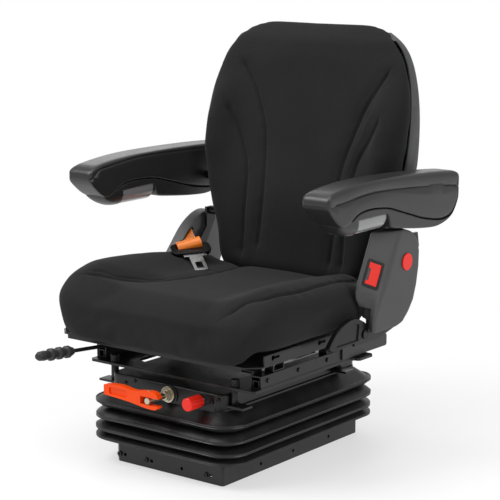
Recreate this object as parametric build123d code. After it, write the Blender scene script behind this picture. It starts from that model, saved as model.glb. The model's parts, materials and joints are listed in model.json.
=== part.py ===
from build123d import *
import os
from math import asin, cos, degrees, radians, sin, sqrt, tan

# Forklift operator's seat on a scissor suspension, in millimetres.
# The seat faces -Y, +X is the occupant's left and +Z is up.
# The origin is the middle of the base tray's underside.

# Overall and shared sizes
SHEET = 2.5                 # pressed steel wall
RUN = 0.3                   # working gap between pieces that move past each other
BEARING = 0.06              # radial gap of a pin in its bore

# Base tray
BASE_WIDTH = 260.0
BASE_DEPTH = 404.0
BASE_HEIGHT = 36.0
BASE_CORNER = 5.0
BASE_CHAMFER = 22.0         # cut-off corner at the front left
MOUNT_HOLE_R = 5.5
MOUNT_SPACING_X = 160.0
MOUNT_SPACING_Y = 350.0
WALL_HOLE_R = 3.2
WALL_SCREW_R = 4.5
WALL_SCREW_HEIGHT = 14.0
FRONT_SCREW_X = (-105.0, -43.0, 93.0)
FRONT_HOLE_X = (-93.0, -31.0, 38.0, 103.0)
SIDE_HOLE_Y = (-95.0, 0.0, 110.0)

# Scissor suspension
ARM_SPAN = 290.0            # rear pivot to front glide
ARM_HEIGHT = 28.0
ARM_THICK = 5.0
PIVOT_Y = 134.0
LOW_PIVOT_Z = 22.0
HIGH_PIVOT_Z = 132.0
TRAVEL = 60.0
OUTER_ARM_X = 104.5         # inner face of the outer arms
INNER_ARM_X = 95.0          # inner face of the inner arms
PIVOT_PIN_R = 6.0
GLIDE_R = 10.0
GLIDE_GAP = 1.0
GLIDE_WIDTH = 9.0
CENTRE_PIN_R = 8.0
CENTRE_BORE_GAP = 0.7       # lets the crossing wander half a millimetre over the travel
CROSS_TUBE_R = 9.0
CROSS_TUBE_SPAN = 220.0     # front cross tube, measured along the arm from its pivot
TRACK_LENGTH = 64.0

# Suspension head
HEAD_WIDTH = 260.0
HEAD_DEPTH = 400.0
HEAD_BOTTOM = 124.0
HEAD_TOP = 160.0
HEAD_CORNER = 20.0
LUG_Z = 137.0
LUG_THICK = 4.0
LUG_REACH = 164.0

# Bellows
FOLD_X = 167.0
FOLD_Y = 229.0
FOLD_CORNER = 52.0
VALLEY_INSET = 25.0
FOLD_HEIGHTS = (107.0, 82.0, 59.5, 46.0)
FOLD_LIP = 5.0
BELLOWS_WALL = 3.0
SKIRT_TOP = 133.0
SKIRT_HALF_X = HEAD_WIDTH / 2 + RUN + BELLOWS_WALL
SKIRT_HALF_Y = HEAD_DEPTH / 2 + RUN + BELLOWS_WALL

# Shock absorber and rubber buffers
DAMPER_Y = 40.0
DAMPER_R = 18.0
DAMPER_WALL = 3.0
DAMPER_TOP = 88.0
DAMPER_ROD_R = 5.0
BUFFER_X = 75.2
BUFFER_Y = -20.0
BUFFER_R = 12.5
BUFFER_PAD_R = 14.5
BUFFER_PAD_TOP = 40.0

# Weight adjuster
CRANK_X = 10.0
CRANK_Z = 143.3
SPINDLE_R = 6.0
SPINDLE_BACK_Y = -92.0
SHAFT_R = 5.5
SHAFT_END_Y = -259.5
FOLD_PIN_Y = -253.0
FOLD_PIN_R = 2.4
LEVER_THICK = 12.0
LEVER_REACH = 100.0
LEVER_TAIL = 23.0
FORK_GAP = 13.4
NUT_R = 11.0
NUT_FLANGE_R = 14.5
NUT_LENGTH = 13.0
DOME_R = 19.0
DOME_RISE = 2.5
YOKE_Y = -106.0
YOKE_THICK = 6.0
YOKE_TRAVEL = 20.0
SPRING_OFFSET = 44.0
SPRING_R = 8.0
SPRING_RINGS = 16
SPRING_BAR_Y = 118.0
SPRING_BAR_Z = 143.0
SPRING_BAR_R = 3.0

# Height knob
KNOB_X = 83.5
KNOB_Z = 145.5
KNOB_R = 11.5
KNOB_LENGTH = 33.0
KNOB_FLUTES = 12
COLLAR_R = 11.0
COLLAR_LENGTH = 8.5

# Posts and adapter plate
POST_X = 137.0
POST_FRONT_Y = -177.0
POST_REAR_Y = 128.0
POST_R = 7.0
POST_NUT = 3.5
POST_CAP_R = 8.0
POST_CAP_HEIGHT = 13.0
ADAPTER_Z = 169.0
ADAPTER_THICK = 5.0
ADAPTER_HALF = 187.0
ADAPTER_REAR_HALF = 200.0
ADAPTER_FRONT_Y = -189.0
ADAPTER_REAR_Y = 152.0
ADAPTER_WINDOW_X = 112.0

# Slide rails
RAIL_OUTER_X = 187.0
RAIL_WIDTH = 22.0
RAIL_TOP = 196.0
RAIL_FRONT_Y = -170.0
RAIL_REAR_Y = 205.0
LOWER_RAIL_REAR_Y = 124.0
SLIDE_TRAVEL = 80.0
END_COVER_FRONT_Y = 66.0
RELEASE_Y = -150.0
RELEASE_Z = 197.0
RELEASE_R = 5.0
RELEASE_ROD_X = -157.5
RELEASE_ROD_R = 3.5
RELEASE_SLOPE = 4.9         # degrees
GRIP_START_Y = -265.0
GRIP_LENGTH = 88.0
GRIP_R = 9.0
GRIP_RIB_R = 11.0

# Seat pan
PAN_HALF = 225.0
PAN_FRONT_Y = -237.0
PAN_REAR_Y = 118.0
PAN_Z = 226.0
PAN_FLANGE_TOP = 246.0
PAN_LIP_DROP = 7.0
KEYHOLE_Y = (-178.0, -46.0)
KEYHOLE_Z = 239.0
KEYHOLE_R = 4.2
KEYHOLE_SLOT = 18.0
PAN_FOOT_Y = (-118.0, 40.0)

# Seat cushion
CUSHION_HALF = 245.0
CUSHION_FRONT_Y = -255.0
CUSHION_REAR_Y = 135.0
CUSHION_BOTTOM = 249.0
CUSHION_TOP = 346.0
CUSHION_MIDDLE_TOP = 312.0   # at mid length
CUSHION_FALL = 0.035         # the middle falls to the rear by this slope

# Recliner
RECLINE_Y = 145.0
RECLINE_Z = 250.0
RECLINE_SHAFT_R = 8.0
PLATE_THICK = 5.0
FIXED_PLATE_X = 228.0
ARM_PLATE_X = 236.5
RECLINE_LEVER_X = 252.0
RECLINE_LEVER_THICK = 10.0
RECLINE_LEVER_Y = 30.0
RECLINE_LEVER_Z = 243.0
RECLINE_LEVER_ANGLE = 12.0

# Backrest, in its own leaning frame: x across, depth backwards, height along the back
BACK_TILT = 11.0
BACK_HALF = 221.0
BACK_REAR_Y = 262.0         # rear face of the shell
CROSS_TUBE_AT = (219.0, 385.0)
HOOP_TOP_Z = 640.0
BACK_FRONT_Y = 146.0        # front face where it meets the seat cushion
BACK_FRONT_Z = 327.0
BACK_REAR_TILT = 5.5
BACK_REAR_FOOT = (205.0, 318.0)   # lowest point of the cushion's flat rear face
BACK_SHELL_WALL = 3.0
BACK_HEIGHT = 460.0
BACK_BOTTOM_HALF = 168.0
FRAME_TUBE_R = 8.0

# Side covers
COVER_INNER_X = 246.0
COVER_OUTER_X = 275.0
COVER_ROUND = 6.0
COVER_BOSS_AT = (115.5, 253.0)
BUCKLE_LONG = 50.0
BUCKLE_SHORT = 33.0
BUCKLE_DEPTH = 12.0
BUCKLE_PROUD = 1.5
BUTTON_TRAVEL = 3.0
CAP_Y = 140.0
CAP_Z = 356.0
CAP_R = 15.5

# Seat belt
WEBBING_WIDTH = 47.0
WEBBING_THICK = 1.6
REEL_SLOT_AT = (155.0, 338.0)
REEL_SLOT_ANGLE = 40.0

# Armrests
ARMREST_INNER_X = 236.4
ARMREST_WIDTH = 56.6
ARMREST_PIVOT_Y = 215.0
ARMREST_PIVOT_Z = 456.0
ARMREST_PIVOT_R = 8.0
ROLLER_R = 24.5
ROLLER_Z = 452.0
ROLLER_FRONT_Y = -53.0
ROLLER_REAR_Y = 57.0
ROLLER_AXLE_R = 4.0


# Helpers

def block(x0, x1, y0, y1, z0, z1):
    """A box between two opposite corners."""
    size = Vector(x1 - x0, y1 - y0, z1 - z0)
    middle = Vector((x0 + x1) / 2, (y0 + y1) / 2, (z0 + z1) / 2)
    return Pos(*middle) * Box(*size)


def bar(start, end, radius):
    """A round bar from one point to another."""
    a, b = Vector(*start), Vector(*end)
    plane = Plane(origin=a, z_dir=b - a)
    return extrude(plane * Circle(radius), amount=(b - a).length)


def pipe(start, end, outer, inner):
    """A round tube from one point to another."""
    return bar(start, end, outer) - bar(start, end, inner)


def side_plate(points, x0, x1):
    """A plate whose outline is given as (y, z) points, between two x values."""
    outline = make_face(Polyline(*[(x0, y, z) for y, z in points], close=True))
    return extrude(outline, amount=x1 - x0, dir=(1, 0, 0))


def side_form(edges, x0, x1):
    """A solid whose outline is a list of edges in the plane x = x0."""
    return extrude(make_face(edges), amount=x1 - x0, dir=(1, 0, 0))


def rounded(half_x, half_y, radius, z):
    """A rounded rectangle at a height."""
    return Plane.XY.offset(z) * RectangleRounded(2 * half_x, 2 * half_y, radius)


def mirrored(shape):
    """The same shape on the other side of the seat's middle plane."""
    return mirror(shape, about=Plane.YZ)


def both(shape):
    """A shape and its mirror image, as separate solids."""
    return [shape, mirrored(shape)]


def solids(items):
    """One compound of separate solids."""
    found = []
    for item in items:
        found += item.solids() if hasattr(item, "solids") else [item]
    return Compound(children=found) if len(found) > 1 else found[0]


# Base

def make_base_tray():
    """Pressed tray with its glide tracks and pivot ears welded in."""
    half_x, half_y = BASE_WIDTH / 2, BASE_DEPTH / 2
    outline = Polyline((-half_x, -half_y + BASE_CHAMFER), (-half_x + BASE_CHAMFER, -half_y),
                       (half_x, -half_y), (half_x, half_y), (-half_x, half_y), close=True)
    tray = extrude(make_face(outline), amount=BASE_HEIGHT)
    tray = fillet(tray.edges().filter_by(Axis.Z), BASE_CORNER)
    tray = offset(tray, amount=-SHEET, openings=tray.faces().sort_by(Axis.Z)[-1])
    for x in (-MOUNT_SPACING_X / 2, MOUNT_SPACING_X / 2):
        for y in (-MOUNT_SPACING_Y / 2, MOUNT_SPACING_Y / 2):
            tray -= bar((x, y, -1), (x, y, SHEET + 1), MOUNT_HOLE_R)
    for x in FRONT_HOLE_X:
        tray -= bar((x, -half_y - 1, WALL_SCREW_HEIGHT), (x, -half_y + SHEET + 1, WALL_SCREW_HEIGHT), WALL_HOLE_R)
    for y in SIDE_HOLE_Y:
        tray -= bar((half_x - SHEET - 1, y, WALL_SCREW_HEIGHT), (half_x + 1, y, WALL_SCREW_HEIGHT), WALL_HOLE_R)
    web = INNER_ARM_X + ARM_THICK + GLIDE_WIDTH + 5
    low, high = LOW_PIVOT_Z - GLIDE_R - GLIDE_GAP, LOW_PIVOT_Z + GLIDE_R + GLIDE_GAP
    glide_y = PIVOT_Y - sqrt(ARM_SPAN ** 2 - (HIGH_PIVOT_Z - LOW_PIVOT_Z) ** 2)
    y0, y1 = glide_y - 40, glide_y - 40 + TRACK_LENGTH
    track = block(web, web + SHEET, y0, y1, SHEET, high + SHEET)
    track += block(web - GLIDE_WIDTH, web + SHEET, y0, y1, low - SHEET, low)
    track += block(web - GLIDE_WIDTH, web + SHEET, y0, y1, high, high + SHEET)
    ear_x = OUTER_ARM_X + ARM_THICK + 1.5
    ear = side_plate([(PIVOT_Y - 18, SHEET), (PIVOT_Y + 18, SHEET), (PIVOT_Y + 12, LOW_PIVOT_Z + 10),
                      (PIVOT_Y - 12, LOW_PIVOT_Z + 10)], ear_x, ear_x + 4)
    ear -= bar((ear_x - 1, PIVOT_Y, LOW_PIVOT_Z), (ear_x + 5, PIVOT_Y, LOW_PIVOT_Z), PIVOT_PIN_R + 0.02)
    for piece in (track, ear):
        tray = tray + piece + mirrored(piece)
    return tray


def make_base_screws():
    """Button-headed screws in the front wall."""
    y = -BASE_DEPTH / 2
    heads = []
    for x in FRONT_SCREW_X:
        head = bar((x, y, WALL_SCREW_HEIGHT), (x, y - 3, WALL_SCREW_HEIGHT), WALL_SCREW_R)
        heads.append(head - bar((x, y - 1.5, WALL_SCREW_HEIGHT), (x, y - 4, WALL_SCREW_HEIGHT), 1.6))
    return solids(heads)


def make_pivot_pins(z, arm_x, ear_x):
    """Headed pins through the arms and the ears outside them."""
    pin = bar((arm_x - 2.5, PIVOT_Y, z), (ear_x + 4, PIVOT_Y, z), PIVOT_PIN_R)
    pin += bar((ear_x + 4, PIVOT_Y, z), (ear_x + 8, PIVOT_Y, z), PIVOT_PIN_R + 3)
    return solids(both(pin))


def make_scissor(pivot_z, tip_z, arm_x, centre_r):
    """Two arms joined by a cross tube at the pivot and one near the front."""
    reach = sqrt(ARM_SPAN ** 2 - (tip_z - pivot_z) ** 2)
    tip_y = PIVOT_Y - reach
    angle = asin((tip_z - pivot_z) / ARM_SPAN)
    plane = Plane(origin=(arm_x, (PIVOT_Y + tip_y) / 2, (pivot_z + tip_z) / 2),
                  x_dir=(0, -cos(angle), sin(angle)), z_dir=(1, 0, 0))
    slot = plane * SlotCenterToCenter(ARM_SPAN, ARM_HEIGHT)
    arm = extrude(slot, amount=ARM_THICK, dir=(1, 0, 0))
    arm -= bar((arm_x - 1, PIVOT_Y, pivot_z), (arm_x + ARM_THICK + 1, PIVOT_Y, pivot_z), PIVOT_PIN_R + BEARING)
    middle = (PIVOT_Y + tip_y) / 2, (pivot_z + tip_z) / 2
    arm -= bar((arm_x - 1, *middle), (arm_x + ARM_THICK + 1, *middle), centre_r)
    frame = arm + mirrored(arm)
    frame += pipe((-arm_x, PIVOT_Y, pivot_z), (arm_x, PIVOT_Y, pivot_z), 11.0, PIVOT_PIN_R + 1.2)
    front_y = PIVOT_Y - CROSS_TUBE_SPAN * cos(angle)
    front_z = pivot_z + CROSS_TUBE_SPAN * sin(angle)
    frame += pipe((-arm_x, front_y, front_z), (arm_x, front_y, front_z), CROSS_TUBE_R, CROSS_TUBE_R - 2)
    return frame


def make_outer_scissor():
    return make_scissor(LOW_PIVOT_Z, HIGH_PIVOT_Z, OUTER_ARM_X, CENTRE_PIN_R + 0.02)


def make_inner_scissor():
    """Inner frame, with the bar that the tension springs hook on."""
    frame = make_scissor(HIGH_PIVOT_Z, LOW_PIVOT_Z, INNER_ARM_X, CENTRE_PIN_R + CENTRE_BORE_GAP)
    for x in (CRANK_X - SPRING_OFFSET - 16, CRANK_X + SPRING_OFFSET + 12):
        frame += side_plate([(PIVOT_Y - 8, HIGH_PIVOT_Z - 5), (PIVOT_Y - 1, HIGH_PIVOT_Z + 10),
                             (SPRING_BAR_Y + 2, SPRING_BAR_Z + 5), (SPRING_BAR_Y - 5, SPRING_BAR_Z),
                             (SPRING_BAR_Y - 2, SPRING_BAR_Z - 5)], x, x + 4)
    frame += bar((CRANK_X - SPRING_OFFSET - 16, SPRING_BAR_Y, SPRING_BAR_Z),
                 (CRANK_X + SPRING_OFFSET + 16, SPRING_BAR_Y, SPRING_BAR_Z), SPRING_BAR_R)
    return frame


def make_glides(tip_z, arm_x):
    """Round plastic glides on the front ends of the arms."""
    tip_y = PIVOT_Y - sqrt(ARM_SPAN ** 2 - (HIGH_PIVOT_Z - LOW_PIVOT_Z) ** 2)
    x0 = arm_x + ARM_THICK
    glide = bar((x0, tip_y, tip_z), (x0 + GLIDE_WIDTH, tip_y, tip_z), GLIDE_R)
    return solids(both(glide))


def make_centre_pins():
    """Pins at the crossing, with a spacer between the arms."""
    y = PIVOT_Y - sqrt(ARM_SPAN ** 2 - (HIGH_PIVOT_Z - LOW_PIVOT_Z) ** 2) / 2
    z = (LOW_PIVOT_Z + HIGH_PIVOT_Z) / 2
    pin = bar((INNER_ARM_X - RUN - 3, y, z), (OUTER_ARM_X + ARM_THICK, y, z), CENTRE_PIN_R)
    pin += bar((INNER_ARM_X - RUN - 4, y, z), (INNER_ARM_X - RUN, y, z), CENTRE_PIN_R + 4)
    pin += bar((INNER_ARM_X + ARM_THICK + RUN, y, z), (OUTER_ARM_X, y, z), CENTRE_PIN_R + 4)
    return solids(both(pin))


def make_buffer_pads():
    """Pressed steel cups that the rubber buffers strike."""
    pad = bar((BUFFER_X, BUFFER_Y, SHEET), (BUFFER_X, BUFFER_Y, BUFFER_PAD_TOP), BUFFER_PAD_R)
    pad -= bar((BUFFER_X, BUFFER_Y, SHEET - 1), (BUFFER_X, BUFFER_Y, BUFFER_PAD_TOP - SHEET), BUFFER_PAD_R - SHEET)
    return solids(both(pad))


def make_rubber_buffers():
    """Stepped rubber buffers under the head."""
    top = HEAD_TOP - SHEET
    bottom = BUFFER_PAD_TOP + TRAVEL + RUN
    buffer = bar((BUFFER_X, BUFFER_Y, bottom), (BUFFER_X, BUFFER_Y, top), BUFFER_R)
    for z in (bottom + (top - bottom) / 3, bottom + 2 * (top - bottom) / 3):
        groove = Pos(BUFFER_X, BUFFER_Y, z) * Torus(BUFFER_R, 2.5)
        buffer -= groove
    buffer = chamfer(buffer.edges().sort_by(Axis.Z)[0], 3)
    return solids(both(buffer))


def make_damper_body():
    """Tube of the shock absorber, standing on the base."""
    y = DAMPER_Y
    body = bar((0, y, SHEET), (0, y, DAMPER_TOP), DAMPER_R)
    body -= bar((0, y, 16), (0, y, DAMPER_TOP - 3), DAMPER_R - DAMPER_WALL)
    body -= bar((0, y, DAMPER_TOP - 4), (0, y, DAMPER_TOP + 1), DAMPER_ROD_R + BEARING)
    return body


def make_damper_rod():
    """Rod with its piston and the bush under the head."""
    y, top = DAMPER_Y, HEAD_TOP - SHEET
    rod = bar((0, y, 78), (0, y, top), DAMPER_ROD_R)
    rod += bar((0, y, 78), (0, y, 83), DAMPER_R - DAMPER_WALL - 0.5)
    rod += bar((0, y, top - 7), (0, y, top), 12.0)
    return rod


def make_bellows():
    """Rubber gaiter: skirt, four folds with rounded lips and a bottom rim."""
    sections = [(SKIRT_HALF_X, SKIRT_HALF_Y, HEAD_CORNER + 3, SKIRT_TOP)]
    for i, z in enumerate(FOLD_HEIGHTS):
        half_lip = FOLD_LIP / 2 if i < 3 else FOLD_LIP / 2 - 0.8
        sections.append((FOLD_X, FOLD_Y, FOLD_CORNER, z + half_lip))
        sections.append((FOLD_X, FOLD_Y, FOLD_CORNER, z - half_lip))
        if i + 1 < len(FOLD_HEIGHTS):
            valley = (z + FOLD_HEIGHTS[i + 1]) / 2
            inset = VALLEY_INSET if i < 2 else VALLEY_INSET * 0.6
            sections.append((FOLD_X - inset, FOLD_Y - inset, FOLD_CORNER - inset, valley))
    rim_x, rim_y = BASE_WIDTH / 2 + 3, BASE_DEPTH / 2 + 3
    sections.append((rim_x, rim_y, 16.0, BASE_HEIGHT + 4.5))
    sections.append((rim_x, rim_y, 16.0, BASE_HEIGHT + RUN))
    outer = loft([rounded(*s) for s in sections], ruled=True)
    inner = loft([rounded(hx - BELLOWS_WALL, hy - BELLOWS_WALL, r - BELLOWS_WALL, z)
                  for hx, hy, r, z in sections], ruled=True)
    flange = bar((CRANK_X, -HEAD_DEPTH / 2 - 12, CRANK_Z), (CRANK_X, -HEAD_DEPTH / 2 - RUN, CRANK_Z), NUT_FLANGE_R + 1)
    return outer - inner - flange


# Head

def make_head_housing():
    """Inverted tray with its tracks, pivot ears, domed boss and post lugs."""
    half_x, half_y = HEAD_WIDTH / 2, HEAD_DEPTH / 2
    shell = extrude(rounded(half_x, half_y, HEAD_CORNER, HEAD_BOTTOM), amount=HEAD_TOP - HEAD_BOTTOM)
    shell = fillet(shell.edges().group_by(Axis.Z)[-1], 4)
    cavity = extrude(rounded(half_x - SHEET, half_y - SHEET, HEAD_CORNER - SHEET, HEAD_BOTTOM),
                     amount=HEAD_TOP - HEAD_BOTTOM - SHEET)
    shell -= cavity
    dome = bar((CRANK_X, -half_y - DOME_RISE, CRANK_Z), (CRANK_X, -half_y, CRANK_Z), DOME_R)
    dome -= block(CRANK_X - 30, CRANK_X + 30, -half_y - 9, -half_y, HEAD_TOP - 1, HEAD_TOP + 20)
    dome -= block(CRANK_X - 30, CRANK_X + 30, -half_y - 9, -half_y, CRANK_Z - 30, SKIRT_TOP + 0.5)
    shell += dome
    shell -= bar((CRANK_X, -half_y - 9, CRANK_Z), (CRANK_X, -half_y + 9, CRANK_Z), SPINDLE_R + 2)
    shell -= bar((KNOB_X, -half_y - 9, KNOB_Z), (KNOB_X, -half_y + 9, KNOB_Z), 5.2)
    web = OUTER_ARM_X + ARM_THICK + GLIDE_WIDTH + 3
    low, high = HIGH_PIVOT_Z - GLIDE_R - GLIDE_GAP, HIGH_PIVOT_Z + GLIDE_R + GLIDE_GAP
    glide_y = PIVOT_Y - sqrt(ARM_SPAN ** 2 - (HIGH_PIVOT_Z - LOW_PIVOT_Z) ** 2)
    y0, y1 = glide_y - 40, glide_y - 40 + TRACK_LENGTH
    track = block(web, web + SHEET, y0, y1, low - SHEET, HEAD_TOP - SHEET)
    track += block(web - GLIDE_WIDTH, web + SHEET, y0, y1, low - SHEET, low)
    track += block(web - GLIDE_WIDTH, web + SHEET, y0, y1, high, high + SHEET)
    ear_x = INNER_ARM_X + ARM_THICK + 1.5
    ear = side_plate([(PIVOT_Y - 18, HEAD_TOP - SHEET), (PIVOT_Y + 18, HEAD_TOP - SHEET),
                      (PIVOT_Y + 12, HIGH_PIVOT_Z - 11), (PIVOT_Y - 12, HIGH_PIVOT_Z - 11)], ear_x, ear_x + 4)
    ear -= bar((ear_x - 1, PIVOT_Y, HIGH_PIVOT_Z), (ear_x + 5, PIVOT_Y, HIGH_PIVOT_Z), PIVOT_PIN_R + 0.02)
    pieces = [track, ear]
    for y in (POST_FRONT_Y, POST_REAR_Y):
        lug = block(half_x - SHEET, LUG_REACH, y - 13, y + 13, LUG_Z, LUG_Z + LUG_THICK)
        lug -= bar((POST_X, y, LUG_Z - 1), (POST_X, y, LUG_Z + LUG_THICK + 1), 4.05)
        pieces.append(lug)
    for piece in pieces:
        shell = shell + piece + mirrored(piece)
    return shell


def make_flange_nut():
    """Stepped bearing nut of the weight spindle."""
    y = -HEAD_DEPTH / 2 - DOME_RISE
    nut = bar((CRANK_X, y, CRANK_Z), (CRANK_X, y - 3, CRANK_Z), NUT_FLANGE_R)
    plane = Plane(origin=(CRANK_X, y - 3, CRANK_Z), x_dir=(1, 0, 0), z_dir=(0, -1, 0))
    nut += extrude(plane * RegularPolygon(NUT_R, 6), amount=NUT_LENGTH - 7)
    nut += bar((CRANK_X, y - NUT_LENGTH + 4, CRANK_Z), (CRANK_X, y - NUT_LENGTH, CRANK_Z), NUT_R - 2.5)
    nut -= bar((CRANK_X, y + 1, CRANK_Z), (CRANK_X, y - NUT_LENGTH - 1, CRANK_Z), SPINDLE_R + BEARING)
    return nut


def make_crank_shaft():
    """Weight spindle with the flat eye that the lever swings on."""
    shoulder = -HEAD_DEPTH / 2 - DOME_RISE - NUT_LENGTH
    shaft = bar((CRANK_X, SPINDLE_BACK_Y, CRANK_Z), (CRANK_X, shoulder, CRANK_Z), SPINDLE_R)
    shaft += bar((CRANK_X, shoulder, CRANK_Z), (CRANK_X, SHAFT_END_Y, CRANK_Z), SHAFT_R)
    shaft -= bar((CRANK_X, FOLD_PIN_Y, CRANK_Z - 9), (CRANK_X, FOLD_PIN_Y, CRANK_Z + 9), FOLD_PIN_R + 0.02)
    return shaft


def make_crank_lever():
    """Moulded lever with a fork at the shaft and a pinched waist."""
    back_y, front_y = FOLD_PIN_Y + LEVER_THICK / 2, FOLD_PIN_Y - LEVER_THICK / 2
    x, z = CRANK_X, CRANK_Z
    plane = Plane.XZ.offset(-back_y)
    top = Spline((x - LEVER_REACH, z + 13), (x - 82, z + 16), (x - 50, z + 15.5), (x - 38, z + 13.5),
                 (x - 8, z + 16.5), (x + 12, z + 17.5))
    end = Spline((x + 12, z + 17.5), (x + LEVER_TAIL, z + 10), (x + LEVER_TAIL, z - 9), (x + 12, z - 13.5))
    bottom = Spline((x + 12, z - 13.5), (x - 8, z - 12.5), (x - 38, z - 8.5), (x - 50, z - 7.5),
                    (x - 82, z - 5.5), (x - LEVER_REACH, z - 4.5))
    tip = Line((x - LEVER_REACH, z - 4.5), (x - LEVER_REACH, z + 13))
    outline = make_face(plane * Wire([*top.edges(), *end.edges(), *bottom.edges(), *tip.edges()]))
    lever = extrude(outline, amount=LEVER_THICK, dir=(0, -1, 0))
    slot = block(x - 16, x + LEVER_TAIL + 5, front_y - 1, back_y + 1, z - FORK_GAP / 2, z + FORK_GAP / 2)
    lever -= slot
    recess = block(x - LEVER_REACH + 12, x - 46, front_y - 1, front_y + 3, z - 2, z + 11)
    lever -= fillet(recess.edges().filter_by(Axis.Y), 4)
    lever -= bar((x, FOLD_PIN_Y, z - 30), (x, FOLD_PIN_Y, z + 30), FOLD_PIN_R + BEARING)
    return lever


def make_crank_pin():
    """Cross pin of the lever, with riveted ends."""
    z0, z1 = CRANK_Z - 14.2, CRANK_Z + 18.6
    return bar((CRANK_X, FOLD_PIN_Y, z0), (CRANK_X, FOLD_PIN_Y, z1), FOLD_PIN_R)


def make_height_knob():
    """Fluted push-on knob."""
    y0 = -HEAD_DEPTH / 2 - COLLAR_LENGTH - RUN
    knob = bar((KNOB_X, y0, KNOB_Z), (KNOB_X, y0 - KNOB_LENGTH, KNOB_Z), KNOB_R)
    knob = chamfer(knob.edges().sort_by(Axis.Y)[0], 1.5)
    for i in range(KNOB_FLUTES):
        angle = radians(360 / KNOB_FLUTES * i)
        x, z = KNOB_X + (KNOB_R + 0.9) * cos(angle), KNOB_Z + (KNOB_R + 0.9) * sin(angle)
        knob -= bar((x, y0 - 5, z), (x, y0 - KNOB_LENGTH - 1, z), 1.6)
    knob -= bar((KNOB_X, y0 + 1, KNOB_Z), (KNOB_X, y0 - 20, KNOB_Z), 5.0 + BEARING)
    return knob


def make_knob_collar():
    """Chromed collar with the stem that the knob turns on."""
    y0 = -HEAD_DEPTH / 2
    collar = bar((KNOB_X, y0, KNOB_Z), (KNOB_X, y0 - COLLAR_LENGTH, KNOB_Z), COLLAR_R)
    collar += bar((KNOB_X, y0 + 12, KNOB_Z), (KNOB_X, y0 - COLLAR_LENGTH - 18, KNOB_Z), 5.0)
    return collar


def make_head_screws():
    """Screws in the head's front panel."""
    y = -HEAD_DEPTH / 2
    heads = []
    for x, z, r in ((-92, 147, 3.0), (104, 145, 4.5), (119, 150, 4.0), (-70, 153, 3.0)):
        head = bar((x, y, z), (x, y - 2.5, z), r)
        heads.append(head - bar((x, y - 1.2, z), (x, y - 4, z), r * 0.4))
    return solids(heads)


def make_posts():
    """Columns between the head's lugs and the adapter plate, with nuts below."""
    posts = []
    for y in (POST_FRONT_Y, POST_REAR_Y):
        top = LUG_Z + LUG_THICK
        post = bar((POST_X, y, top), (POST_X, y, ADAPTER_Z), POST_R)
        post += bar((POST_X, y, LUG_Z - POST_NUT), (POST_X, y, top), 4.0)
        plane = Plane(origin=(POST_X, y, LUG_Z - POST_NUT), z_dir=(0, 0, 1))
        post += extrude(plane * RegularPolygon(6.5, 6), amount=POST_NUT)
        posts += both(post)
    return solids(posts)


def make_post_caps():
    """Ribbed rubber caps on top of the adapter plate."""
    caps = []
    z0 = ADAPTER_Z + ADAPTER_THICK
    for y in (POST_FRONT_Y, POST_REAR_Y):
        cap = bar((POST_X, y, z0), (POST_X, y, z0 + POST_CAP_HEIGHT), POST_CAP_R)
        for z in (z0 + 4, z0 + 8):
            cap -= Pos(POST_X, y, z) * Torus(POST_CAP_R + 0.4, 1.2)
        caps += both(fillet(cap.edges().sort_by(Axis.Z)[-1], 2.5))
    return solids(caps)


def make_adapter_plate():
    """Plate with a window that carries the slide rails."""
    plate = block(-ADAPTER_HALF, ADAPTER_HALF, ADAPTER_FRONT_Y, ADAPTER_REAR_Y,
                  ADAPTER_Z, ADAPTER_Z + ADAPTER_THICK)
    plate += block(-ADAPTER_REAR_HALF, ADAPTER_REAR_HALF, ADAPTER_REAR_Y - 48, ADAPTER_REAR_Y,
                   ADAPTER_Z, ADAPTER_Z + ADAPTER_THICK)
    plate = chamfer(plate.edges().filter_by(Axis.Z), 5)
    window = block(-ADAPTER_WINDOW_X, ADAPTER_WINDOW_X, ADAPTER_FRONT_Y + 42, ADAPTER_REAR_Y - 52,
                   ADAPTER_Z - 1, ADAPTER_Z + ADAPTER_THICK + 1)
    plate -= fillet(window.edges().filter_by(Axis.Z), 12)
    return plate


def make_lower_rails():
    """Fixed rails: a foot flange with a channel that the sliding rail wraps."""
    z0 = ADAPTER_Z + ADAPTER_THICK
    inner_x = RAIL_OUTER_X - RAIL_WIDTH
    y0, y1 = RAIL_FRONT_Y, LOWER_RAIL_REAR_Y
    rail = block(inner_x, RAIL_OUTER_X, y0, y1, z0, z0 + 2)
    rail += block(inner_x + 4, RAIL_OUTER_X - 4, y0, y1, z0, z0 + 14)
    rail -= block(inner_x + 6, RAIL_OUTER_X - 6, y0 - 1, y1 + 1, z0 + 2, z0 + 12)
    return solids(both(rail))


# Slide

def make_upper_rails():
    """Sliding rails, with ears for the release shaft."""
    z0 = ADAPTER_Z + ADAPTER_THICK + 2 + RUN
    inner_x = RAIL_OUTER_X - RAIL_WIDTH
    y0, y1 = RAIL_FRONT_Y, RAIL_REAR_Y
    rail = block(inner_x, RAIL_OUTER_X, y0, y1, z0, RAIL_TOP)
    rail -= block(inner_x + SHEET, RAIL_OUTER_X - SHEET, y0 - 1, y1 + 1, z0 - 1, RAIL_TOP - SHEET)
    ear = block(inner_x - 3.5, inner_x, RELEASE_Y - 11, RELEASE_Y + 11, RELEASE_Z - 10, RELEASE_Z + 9)
    ear = fillet(ear.edges().filter_by(Axis.X).sort_by(Axis.Z)[-2:], 8)
    ear -= bar((inner_x - 5, RELEASE_Y, RELEASE_Z), (inner_x, RELEASE_Y, RELEASE_Z), RELEASE_R + BEARING)
    rail += ear
    return solids(both(rail))


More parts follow.
